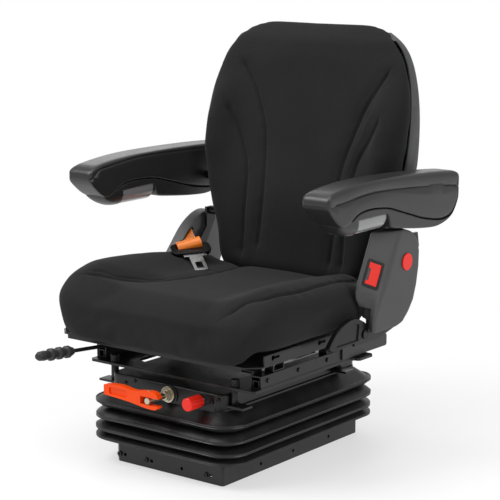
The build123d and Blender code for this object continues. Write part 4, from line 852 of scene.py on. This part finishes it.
@dataclass
class SeatCushion(PaddedForm):
    """Seat cushion with raised sides, a rolled front and an underside that sits in the pan."""

    name: str = "seat_cover"
    slot: str = "black_fabric"
    body: str = "slide"
    node: str = "seat_cushion"
    half: float = 241.5
    front: float = -250.5
    rear: float = 139.5
    waist: float = 285.0
    slack: float = 3.5
    squareness: float = 7.5
    lower_edge: float = 12.0
    pan_floor: float = 0.2289
    pan_lip: float = -0.2377
    pan_flange: tuple[float, float] = (0.2216, 0.2466)

    def top(self, x: np.ndarray, y: np.ndarray) -> np.ndarray:
        """Height of the top: a middle line and a bolster line along y, mixed across x."""
        middle = np.interp(y, [-255, -235, -200, -150, -60, 40, 100, 142],
                           [292, 306, 316, 317.5, 315, 311, 308.5, 308])
        bolster = np.interp(y, [-255, -235, -200, -150, -90, 0, 75, 110, 142],
                            [300, 318, 336, 345, 345, 338, 330, 327, 324])
        w = smoothstep(95.0, 190.0, np.abs(x))
        return middle * (1.0 - w) + bolster * w - self.slack

    def low(self, x: np.ndarray, y: np.ndarray) -> np.ndarray:
        """Height of the underside: it drops over the pan's front lip, between the corners."""
        drop = (1.0 - smoothstep(-240.0, -214.0, y)) * (1.0 - smoothstep(200.0, 238.0, np.abs(x)))
        return 248.0 - 26.0 * drop

    def closed_form(self) -> np.ndarray:
        """Superellipse plan, inset along its edges and shrunk to its middle; narrower at the rear."""
        t = np.linspace(0.0, 2.0 * math.pi, 240, endpoint=False)[None, :]
        across, along = (signed_power(part, 2.0 / self.squareness) for part in (np.cos(t), np.sin(t)))
        upper = 46.0 + 24.0 * np.clip(-along, 0, 1) ** 6 - 36.0 * np.clip(along, 0, 1) ** 6
        middle, reach = (self.front + self.rear) / 2, (self.rear - self.front) / 2
        rings = []
        for radius, sign in ((self.lower_edge, -1.0), (upper, 1.0)):
            d, f, s = self.edge_rows(radius, sign, 0.87, (15, 18))
            x, y = (self.half - d) * across * s, middle + (reach - d) * along * s
            x = x * (1.0 - 0.085 * smoothstep(36.0, 110.0, y))
            height = self.top(x, y) - self.waist if sign > 0 else self.waist - self.low(x, y)
            block = np.stack([x, y, self.waist + f * height], -1)
            rings.append(block[::-1] if sign < 0 else block)
        return np.concatenate(rings) * MM

    def settle(self, verts: np.ndarray) -> np.ndarray:
        """Keeps the foam on the pan's floor, behind its lip and above its side flanges."""
        x, y, z = verts.T
        z = np.where(y > self.pan_lip, np.maximum(z, self.pan_floor), np.maximum(z, 0.2205))
        flange = (np.abs(x) > self.pan_flange[0]) & (y > self.pan_lip)
        z = np.where(flange, np.maximum(z, self.pan_flange[1]), z)
        return np.stack([x, np.minimum(y, 0.1410), z], -1)

    def seam_space(self, verts: np.ndarray) -> tuple[np.ndarray, np.ndarray]:
        """Seams are drawn in plan and bite where the surface faces up."""
        mm = verts / MM
        return mm[:, :2], smoothstep(284.0, 300.0, mm[:, 2])


@dataclass
class BackCushion(PaddedForm):
    """Back cushion: leaning outline, strong shoulder bolsters and a crest that rolls backwards."""

    name: str = "back_cover"
    slot: str = "black_fabric"
    body: str = "back"
    node: str = "backrest_cushion"
    heights: tuple[float, ...] = (
        287.0, 315.0, 370.0, 418.0, 460.0, 530.0, 600.0, 650.0, 701.0, 735.0, 753.0, 765.0)
    halves: tuple[float, ...] = (
        150.0, 168.0, 182.0, 200.0, 210.0, 221.0, 226.0, 221.0, 205.0, 181.0, 154.0, 104.0)
    swell: float = 2.5
    settling: int = 16
    slack: float = 2.5
    edges: tuple[float, float] = (4.0, 25.0)
    centre: float = 535.0

    def outline(self, count: int) -> np.ndarray:
        """Closed outline in x and z: up the right side through the half-widths, over and down."""
        side = curve_through(list(zip(self.halves, self.heights)), 120)
        closed = np.vstack([side, side[::-1] * (-1.0, 1.0), side[:1]])
        length = np.concatenate([[0.0], np.cumsum(np.linalg.norm(np.diff(closed, axis=0), axis=1))])
        s = np.linspace(0.0, length[-1], count, endpoint=False)
        return np.stack([np.interp(s, length, closed[:, 0]), np.interp(s, length, closed[:, 1])], -1)

    def front(self, x: np.ndarray, z: np.ndarray) -> np.ndarray:
        """Front face: lean, lumbar swell, hollow middle, shoulder bolsters and the crest rolling back."""
        lean = 148.0 + (z - 330.0) * 0.194
        lumbar = -6.0 * np.exp(-((z - 440.0) / 70.0) ** 2)
        hollow = 8.0 * smoothstep(450.0, 620.0, z) * smoothstep(730.0, 650.0, z) * np.exp(-(x / 100.0) ** 2)
        rise = np.interp(z, [300, 360, 430, 480, 530, 580, 627, 675, 720, 770],
                         [2, 3, 4, 14, 26, 26, 17, 4, 0, -3])
        bolster = -rise * np.exp(-((np.abs(x) - 194.0) / 34.0) ** 2)
        crest = 3.0 * smoothstep(690.0, 728.0, z) + 15.0 * smoothstep(728.0, 757.0, z)
        crest = crest + 10.0 * smoothstep(752.0, 768.0, z)
        return lean + lumbar + hollow + bolster + crest + self.slack

    def rear(self, z: np.ndarray) -> np.ndarray:
        """Flat rear face, just in front of the shell's rim, and over its top edge."""
        return 204.6 + (z - 318.0) * math.tan(math.radians(5.5)) + 19.5 * smoothstep(733.0, 756.0, z)

    def closed_form(self) -> np.ndarray:
        """The outline, inset along its front and rear edges and shrunk to its middle."""
        line = self.outline(260)[None]
        rings = []
        for radius, sign in zip(self.edges, (-1.0, 1.0)):
            d, f, s = self.edge_rows(radius, sign, 0.9, (13, 20))
            x = line[:, :, 0] * (1.0 - d / 218.0) * s
            z = self.centre + (line[:, :, 1] - self.centre) * (1.0 - d / 228.0) * s
            front, rear = self.front(x, z), self.rear(z)
            middle = front * 0.6 + rear * 0.4
            y = middle + np.abs(f) * ((front if sign > 0 else rear) - middle)
            block = np.stack([x, y, z], -1)
            rings.append(block[::-1] if sign < 0 else block)
        return np.concatenate(rings) * MM

    def settle(self, verts: np.ndarray) -> np.ndarray:
        """Keeps the foam in front of the shell's rim."""
        x, y, z = verts.T
        return np.stack([x, np.minimum(y, (self.rear(z / MM) + 0.2) * MM), z], -1)

    def seam_space(self, verts: np.ndarray) -> tuple[np.ndarray, np.ndarray]:
        """Seams are drawn in front view and bite on the front half."""
        mm = verts / MM
        front = self.front(mm[:, 0], mm[:, 2])
        return mm[:, [0, 2]], 1.0 - smoothstep(14.0, 30.0, mm[:, 1] - front)


@dataclass
class Bellows:
    """Rubber gaiter: rounded-rectangle rings whose size follows the folds' profile."""

    fold: tuple[float, float] = (167.0, 229.0)
    corner: float = 52.0
    ridges: tuple[float, ...] = (110.5, 83.0, 61.0, 45.0)
    wall: float = 2.0

    def profile(self) -> list[tuple[float, float]]:
        """Inset from the fold's edge and height, from the skirt's top to the rim, in mm."""
        rows = [(33.9, 134.0), (33.2, 131.0), (31.0, 129.0), (24.0, 124.5), (13.0, 117.0), (4.0, 111.6)]
        for i, z in enumerate(self.ridges):
            lip = 3.0 if i < 3 else 2.4
            rows += [(1.2, z + lip), (0.0, z + lip - 1.0), (0.9, z + 0.6), (0.9, z - 0.6),
                     (0.0, z - lip + 1.0), (1.4, z - lip)]
            if i + 1 < len(self.ridges):
                valley = (z + self.ridges[i + 1]) / 2
                deep = 23.0 if i < 2 else 13.0
                rows += [(deep * 0.5, valley + 3.4), (deep, valley + 0.8), (deep, valley - 0.8),
                         (deep * 0.5, valley - 3.4)]
        rows += [(10.0, 42.2), (24.0, 40.4), (33.5, 40.0), (35.4, 39.0), (35.6, 36.6), (37.4, 36.5)]
        return rows

    def ring(self, inset: float, z: float) -> np.ndarray:
        """Rounded rectangle by arc length: 17 points on each quarter circle and 12 on each straight run.

        Args:
            inset: how far inside the fold's edge, in mm.
            z: height in mm.

        Returns:
            Rows of x, y, z in mm.
        """
        hx, hy = self.fold[0] - inset, self.fold[1] - inset
        r = max(self.corner - inset, 16.0)
        angle = np.linspace(0.0, 0.5 * math.pi, 17)
        arc = np.stack([hx - r + r * np.cos(angle), hy - r + r * np.sin(angle)], -1)
        line = np.vstack([arc, (arc * (-1, 1))[::-1], arc * (-1, -1), (arc * (1, -1))[::-1], arc[:1]])
        steps = np.concatenate([[0.0], np.cumsum(np.linalg.norm(np.diff(line, axis=0), axis=1))])
        arcs = [np.linspace(steps[17 * k], steps[17 * k + 16], 17) for k in range(4)]
        runs = [np.linspace(steps[17 * k + 16], steps[17 * k + 17], 14)[1:-1] for k in range(4)]
        s = np.sort(np.concatenate([*arcs, *runs]))
        x, y = (np.interp(s, steps, line[:, k]) for k in (0, 1))
        return np.stack([x, y, np.full(len(s), z)], -1)

    def build(self, wardrobe: Wardrobe) -> None:
        """Makes the gaiter, with slightly wavy folds, as rubber takes a set."""
        fine = curve_through(self.profile(), 210)
        grid = np.stack([self.ring(float(inset), float(z)) for inset, z in fine])
        angle = np.linspace(0.0, 2.0 * math.pi, grid.shape[1], endpoint=False)[None, :]
        fade = smoothstep(2.0, 20.0, 134.0 - grid[:, :, 2]) * smoothstep(0.0, 8.0, grid[:, :, 2] - 37.0)
        wave = np.sin(angle * 5.0 + grid[:, :, 2] / 17.0)
        wave = wave + 0.6 * np.sin(angle * 11.0 + 1.3 - grid[:, :, 2] / 9.0)
        grid[:, :, 2] += 0.45 * wave * fade
        grid[:, :, :2] *= (1.0 + 0.0016 * wave * fade)[:, :, None]
        obj = tube_surface("rubber_bellows", grid * MM, False)
        wall = obj.modifiers.new("wall", "SOLIDIFY")
        wall.thickness, wall.offset = self.wall * MM, -1.0
        apply_modifiers(obj)
        wardrobe.dress(obj, Look.BELLOWS)
        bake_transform(obj)
        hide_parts("bellows")


@dataclass
class Armrest:
    """One armrest: padded top and moulded body parted by a crease, lower housing and rounded nose."""

    side: int
    suffix: str
    tilt: float = 0.0
    inner: float = 236.6
    width: float = 56.2
    corner: float = 7.0
    stretch: float = 9.0
    top: Line = (
        (-127, 491), (-126.3, 498), (-122, 504.5), (-112, 509.5), (-96, 513), (-60, 516.5), (-10, 518.5),
        (45, 518), (117, 515.5), (196, 511), (250, 506.5), (268, 504), (275, 500), (278.5, 493),
        (279, 486))
    bottom: Line = (
        (-127, 489), (-124, 483), (-118, 475.5), (-108, 466), (-97, 457), (-86, 450.5), (-78, 448.5),
        (-70, 449.5), (-58, 455), (-42, 464), (-23, 468.5), (5, 469.5), (35, 467), (61, 463), (80, 457.5),
        (119, 445.5), (159, 433), (199, 424.4), (224, 422), (248, 426), (261, 436.5), (270, 452),
        (275, 466), (279, 484))
    crease: Line = (
        (-127, 489), (-115, 488), (-101, 489), (-60, 492.5), (5, 496.5), (79, 494.5), (149, 490.5),
        (217, 485), (250, 480), (279, 474))
    housing: Line = (
        (-60, 456), (-40, 455), (0, 455), (40, 455), (51, 453.5), (56, 443), (60, 432), (70, 427.5),
        (93, 423.5), (147, 415.6), (192, 411.2), (215, 412.6), (236, 418), (252, 426), (262, 436),
        (270, 448), (276, 463), (279, 478))
    dome: tuple[Triple, ...] = (
        (-89, 458, 455), (-86, 459, 447.5), (-81, 460, 441), (-75, 461, 436.3), (-68, 462, 432.6),
        (-59, 464, 429.4), (-45, 467, 427.2), (-30, 471, 426.5))

    def sections(self, upper: np.ndarray, lower: np.ndarray, power: tuple[float, float],
                 tuck: float = 0.0) -> np.ndarray:
        """Loft between two side-view curves with superellipse sections.

        At each y the section is x = c + w sgn(cos a)|cos a|^(2/n), z = m + h sgn(sin a)|sin a|^(2/n), with m
        and h from the two curves; w shrinks over the corner radius at both ends as a quarter circle.

        Args:
            upper: rows of y, z of the upper edge, in mm.
            lower: rows of y, z of the lower edge.
            power: n of the upper and of the lower half.
            tuck: how much narrower than the full width, in mm.

        Returns:
            Rings of x, y, z in mm, with x from 0 at the inner side.
        """
        y0, y1 = max(upper[0, 0], lower[0, 0]), min(upper[-1, 0], lower[-1, 0])
        s = np.linspace(0.0, 1.0, 170)
        y = (y0 + (y1 - y0) * (0.5 - 0.5 * np.cos(math.pi * s)))[:, None]
        zt, zb = (np.interp(y, line[:, 0], line[:, 1]) for line in (upper, lower))
        near = np.clip(np.minimum(y - y0, y1 - y) / self.corner, 0.0, 1.0)
        half = self.width / 2 - tuck - self.corner * (1.0 - np.sqrt(1.0 - (1.0 - near) ** 2))
        a = np.linspace(0.0, 2.0 * math.pi, 96, endpoint=False)[None, :]
        n = np.where(np.sin(a) > 0, power[0], power[1])
        x = self.width / 2 + half * signed_power(np.cos(a), 2.0 / n)
        z = (zt + zb) / 2 + np.maximum((zt - zb) / 2, 0.3) * signed_power(np.sin(a), 2.0 / n)
        return np.stack([x, np.broadcast_to(y, x.shape), z], -1)

    def place(self, rings: np.ndarray) -> np.ndarray:
        """Tilts a loft about the nose, puts it on its side of the seat and turns it into metres."""
        x, y, z = np.moveaxis(rings, -1, 0)
        y = y + self.stretch * smoothstep(80.0, 279.0, y)
        return np.stack([(self.inner + x) * self.side, y, z + self.tilt * (y + 50.0)], -1) * MM

    def parting(self, rings: np.ndarray) -> np.ndarray:
        """Height of the crease: as measured on the outer side, and 15 mm higher on the inner side."""
        line = curve_through(list(self.crease), 120)
        level = np.interp(rings[:, :, 1], line[:, 0], line[:, 1])
        inner = 1.0 - smoothstep(4.0, 52.0, rings[:, :, 0])
        return level + 15.0 * inner * smoothstep(-127.0, -95.0, rings[:, :, 1])

    def groove(self, rings: np.ndarray, level: np.ndarray) -> np.ndarray:
        """Draws the sides in by 1.5 mm beside the crease: depth exp(-(dz / 1.6)^2), fading to the nose."""
        depth = 1.5 * np.exp(-((rings[:, :, 2] - level) / 1.6) ** 2)
        depth = depth * smoothstep(-124.0, -100.0, rings[:, :, 1])
        x = rings[:, :, 0]
        out = rings.copy()
        out[:, :, 0] = x - np.sign(x - self.width / 2) * depth
        return out

    def build(self, wardrobe: Wardrobe) -> None:
        """Makes, dresses and hands over the four mouldings; the nose is part of the shell's node."""
        body = f"armrest_{'r' if self.suffix == 'right' else 'l'}"
        top, bottom = curve_through(list(self.top), 260), curve_through(list(self.bottom), 300)
        whole = self.sections(top, bottom, (6.5, 11.0))
        level = self.parting(whole)
        pad, shell = whole.copy(), whole.copy()
        pad[:, :, 2] = np.maximum(whole[:, :, 2], level)
        shell[:, :, 2] = np.minimum(whole[:, :, 2], level - 0.15)
        under = curve_through([(y, z - 0.35) for y, z in self.bottom if y > -60], 240)
        base = self.sections(under, curve_through(list(self.housing), 240), (14.0, 8.0), 0.2)
        bow = curve_through(list(self.dome), 80)
        hood = self.sections(bow[:, :2], bow[:, ::2], (8.0, 2.1), 2.8)
        for name, rings, stands_for in (("top", self.groove(pad, level), ("pad",)),
                                        ("body", self.groove(shell, level), ("shell",)),
                                        ("base", base, ("housing",)), ("nose", hood, ())):
            obj = tube_surface(f"armrest_{name}_{self.suffix}", self.place(rings))
            wardrobe.dress(obj, Look.ARMREST)
            ride(obj, body, *(f"armrest_{node}_{self.suffix}" for node in stands_for))


@dataclass
class SideCover:
    """Right side cover: slanted front face, soft ridge, rounded rear edge and the lever's pocket."""

    inner: float = 246.2
    outer: float = 274.8
    low: float = 244.0
    high: float = 416.0
    front: Line = (
        (244.0, 46.0), (262.0, 44.0), (280.0, 39.0), (292.0, 30.5), (304.0, 22.5), (314.0, 20.5),
        (328.0, 24.3), (370.0, 45.0), (413.0, 66.3), (416.0, 68.0))
    ridge: Line = (
        (244.0, 36.0), (262.0, 36.5), (276.0, 41.0), (294.0, 51.0), (312.0, 64.0), (328.0, 75.0),
        (345.0, 83.4), (393.0, 107.0), (416.0, 118.0))
    rear: Line = (
        (244.0, 116.0), (249.0, 134.0), (265.0, 153.0), (284.0, 168.0), (310.0, 177.5), (342.0, 184.0),
        (369.0, 185.0), (386.0, 181.0), (399.0, 171.0), (409.0, 156.0), (416.0, 134.0))

    def ring(self, z: float) -> np.ndarray:
        """One level section: slanted face, rounded ridge, flat side, rounded rear and the inner side.

        The ridge is the quadratic curve (1-t)^2 p + 2 t (1-t) q + t^2 r through its corner q.

        Args:
            z: height in mm.

        Returns:
            Rows of x, y, z in mm.
        """
        yf, yr, yb = (float(np.interp(z, *np.array(line).T)) for line in (self.front, self.ridge, self.rear))
        yr = min(yr, yb - 4.0)
        xi = self.inner + 18.3 * float(smoothstep(290.0, 286.0, np.array(z)))
        share = (xi - self.inner) / (self.outer - self.inner)
        start = np.array((xi, yf + (yr - yf) * share))
        corner, end = np.array((self.outer, yr)), np.array((self.outer, yb))
        run = corner - start
        before = corner - run / np.linalg.norm(run) * min(9.0, 0.6 * float(np.linalg.norm(run)))
        after = corner + np.array((0.0, min(10.0, 0.45 * (yb - yr))))
        t = np.linspace(0.0, 1.0, 11)[:, None]
        round_ridge = (1 - t) ** 2 * before + 2 * t * (1 - t) * corner + t ** 2 * after
        soft = min(7.0, 0.3 * (yb - yr))
        turn = np.linspace(0.0, 0.5 * math.pi, 9)[:, None]
        back = np.hstack([self.outer - soft + soft * np.cos(turn), yb - soft + soft * np.sin(turn)])
        pocket_end = 55.0 - 12.0 * float(smoothstep(262.0, 270.0, np.array(z)))
        step = max(pocket_end, float(start[1]) + 1.0)
        inside = np.array(((self.inner, yb), (self.inner, step), (xi, step)))
        parts = [np.linspace(start, before, 14)[:-1], round_ridge, np.linspace(after, back[0], 16)[1:-1],
                 back, np.linspace(back[-1], inside[0], 9)[1:], np.linspace(inside[0], inside[1], 20)[1:],
                 np.linspace(inside[1], inside[2], 4)[1:], np.linspace(inside[2], start, 4)[1:-1]]
        flat = np.vstack(parts)
        return np.hstack([flat, np.full((len(flat), 1), z)])

    def build(self, wardrobe: Wardrobe) -> None:
        """Makes the cover, a little drawn in at its lower and upper rim, and hands it over."""
        pocket = [285.9, 286.4, 288.0, 289.6, 290.2]
        levels = np.unique(np.concatenate([np.linspace(self.low, self.high, 87), pocket]))
        rings = np.stack([self.ring(float(z)) for z in levels])
        edge = smoothstep(0.0, 3.2, np.minimum(self.high - levels, levels - self.low))
        middle = rings.mean(1, keepdims=True)
        rings[:, :, :2] = middle[:, :, :2] + (rings - middle)[:, :, :2] * (0.94 + 0.06 * edge)[:, None, None]
        obj = tube_surface("cover_right", rings * MM)
        wardrobe.dress(obj, Look.GREY)
        ride(obj, "slide", "side_cover_right")


@dataclass
class SafetyBelt:
    """Orange webbing from the reel's slot, arched over into the tongue's grip."""

    tongue: Triple = (-149.0, 51.0, 341.5)
    across: Triple = (0.575, 0.775, 0.22)
    down: Triple = (0.792, -0.546, -0.36)
    slot: Triple = (-247.6, 155.0, 338.0)
    tilt: float = 40.0
    width: float = 47.0
    thickness: float = 1.5
    steps: int = 90
    threads: int = 25

    def axes(self) -> tuple[np.ndarray, np.ndarray, np.ndarray]:
        """The tongue's own axes: across it, down it and up from it."""
        a = np.array(self.across) / np.linalg.norm(self.across)
        d = np.array(self.down)
        d = d - a * (d @ a)
        d /= np.linalg.norm(d)
        up = np.cross(a, d)
        return a, d, up if up[2] > 0 else -up

    def build(self, wardrobe: Wardrobe) -> None:
        """Webbing as a ribbon: a smooth middle line, and edges that turn evenly between the ends."""
        a, d, up = self.axes()
        near = np.array(self.tongue) - d * 7.0
        far = np.array(self.slot)
        turn = math.radians(self.tilt)
        far_across = np.array((0.0, math.cos(turn), math.sin(turn)))
        level = (far - near) * (1.0, 1.0, 0.0)
        level /= np.linalg.norm(level)
        drop = np.array((0.0, 0.0, 1.0))
        bow = ((8.5, 1.0), (7.5, 7.5), (2.0, 12.5), (-6.0, 13.0), (-13.0, 8.5))
        arch = [near + d * along + up * lift for along, lift in bow]
        lie = [near + level * along - drop * sag for along, sag in ((26.0, 2.0), (62.0, 12.0), (104.0, 10.0))]
        middle = curve_through([tuple(point) for point in (*arch, *lie, far)], self.steps)
        share = smoothstep(0.5, 1.0, np.linspace(0.0, 1.0, self.steps))[:, None]
        edge = a[None, :] * (1.0 - share) + far_across[None, :] * share
        edge /= np.linalg.norm(edge, axis=1, keepdims=True)
        v = np.linspace(-0.5, 0.5, self.threads)[None, :, None]
        grid = middle[:, None, :] + edge[:, None, :] * v * self.width
        faces = grid_faces(self.steps, self.threads, False)
        obj = mesh_object("belt_strap", grid.reshape(-1, 3) * MM, faces)
        layer = obj.data.uv_layers.new(name="length")
        index = np.empty(len(obj.data.loops), int)
        obj.data.loops.foreach_get("vertex_index", index)
        across, along = index % self.threads, index // self.threads
        uv = np.stack([across / (self.threads - 1) * 0.6, along / (self.steps - 1)], -1)
        layer.data.foreach_set("uv", uv.ravel())
        wall = obj.modifiers.new("thick", "SOLIDIFY")
        wall.thickness, wall.offset = self.thickness * MM, 0.0
        wardrobe.dress(obj, Look.WEBBING)
        ride(obj, "slide", "belt_webbing")


@dataclass
class CadDressing:
    """Finishes for the CAD nodes that stay as they are."""

    looks: dict[Look, tuple[str, ...]] = field(default_factory=lambda: {
        Look.PAINT_TRAY: ("base_tray",),
        Look.PAINT: ("buffer_pads", "outer_scissor", "inner_scissor", "head_housing", "posts",
                     "adapter_plate", "lower_rails", "upper_rails", "seat_pan", "recliner_plates",
                     "backrest_frame", "damper_body", "slide_lever_rod", "base_screws", "head_screws",
                     "rail_screws"),
        Look.ZINC: ("outer_pivot_pins", "inner_pivot_pins", "centre_pins", "flange_nut", "crank_shaft",
                    "crank_pin", "spring_yoke", "recliner_shaft", "tension_springs"),
        Look.CHROME: ("knob_collar", "damper_rod"),
        Look.STEEL: ("belt_tongue",),
        Look.RUBBER: ("rubber_buffers", "post_caps", "slide_lever_grip"),
        Look.BLACK: ("rail_end_covers", "belt_reel"),
        Look.GLOSS: ("recline_lever", "recline_lever_pin", "buckle_housing", "tongue_cover"),
        Look.GREY_LIGHT: ("side_cover_left",),
        Look.SHELL: ("backrest_shell",),
        Look.RED: ("height_knob", "buckle_button", "cap_disc"),
        Look.ORANGE: ("crank_lever",),
        Look.ROLLER: ("armrest_roller_right", "armrest_roller_left"),
        Look.NYLON: ("outer_glides", "inner_glides"),
    })
    rounding: dict[str, float] = field(default_factory=lambda: {
        "side_cover_left": 2.2, "crank_lever": 1.6, "recline_lever": 1.2, "backrest_shell": 3.0,
        "tongue_cover": 1.6, "buckle_housing": 0.5, "buckle_button": 0.7, "height_knob": 0.4,
        "belt_tongue": 0.5, "base_tray": 0.9, "head_housing": 0.8, "adapter_plate": 0.5,
        "rail_end_covers": 0.8, "seat_pan": 0.5,
    })

    def build(self, nodes: dict[str, bpy.types.Object], wardrobe: Wardrobe) -> None:
        """Dresses every CAD node and rounds the edges that show."""
        for look, names in self.looks.items():
            for name in names:
                wardrobe.dress(nodes[name], look)
                soften(nodes[name], self.rounding.get(name, 0.35))


SEAT_SEAMS = [
    [(-186, -196), (-167, -177), (-137, -164), (-109, -124), (-82, -84)],
    [(-192, -205), (-150, -185), (-111, -152), (-78, -98), (-66, -30), (-68, 40), (-76, 100), (-84, 140)],
    [(150, -232), (160, -222), (178, -204), (206, -178), (219, -120), (212, -34), (198, 60), (188, 120)],
]
BACK_SEAMS = [
    [(-176, 610), (-169, 600), (-131, 532), (-112, 477), (-108, 405), (-106, 335), (-106, 312)],
    [(-160, 690), (-141, 669), (-113, 627), (-89, 572), (-78, 523), (-68, 445), (-69, 371), (-70, 330)],
    [(186, 690), (175, 673), (139, 616), (117, 558), (103, 506), (101, 445), (101, 381), (98, 313)],
    [(184, 606), (176, 592), (143, 534), (132, 500), (126, 440), (124, 378), (126, 311)],
]


def smooth_paths(paths: list[list[tuple[float, float]]]) -> list[np.ndarray]:
    """Seam paths as smooth curves of 60 points."""
    return [curve_through(path, 60) for path in paths]


def main() -> None:
    """Builds the dressed seat on the frame."""
    logging.basicConfig(level=logging.INFO, format="%(message)s")
    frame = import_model()
    wardrobe = Wardrobe()
    Studio().build()
    CadDressing().build(frame["nodes"], wardrobe)
    Bellows().build(wardrobe)
    SeatCushion(seams=smooth_paths(SEAT_SEAMS)).build(wardrobe)
    BackCushion(seams=smooth_paths(BACK_SEAMS)).build(wardrobe)
    for side, suffix, tilt in ((1, "right", 0.0), (-1, "left", 0.036)):
        Armrest(side, suffix, tilt).build(wardrobe)
    SideCover().build(wardrobe)
    SafetyBelt().build(wardrobe)


if __name__ == "__main__":
    main()
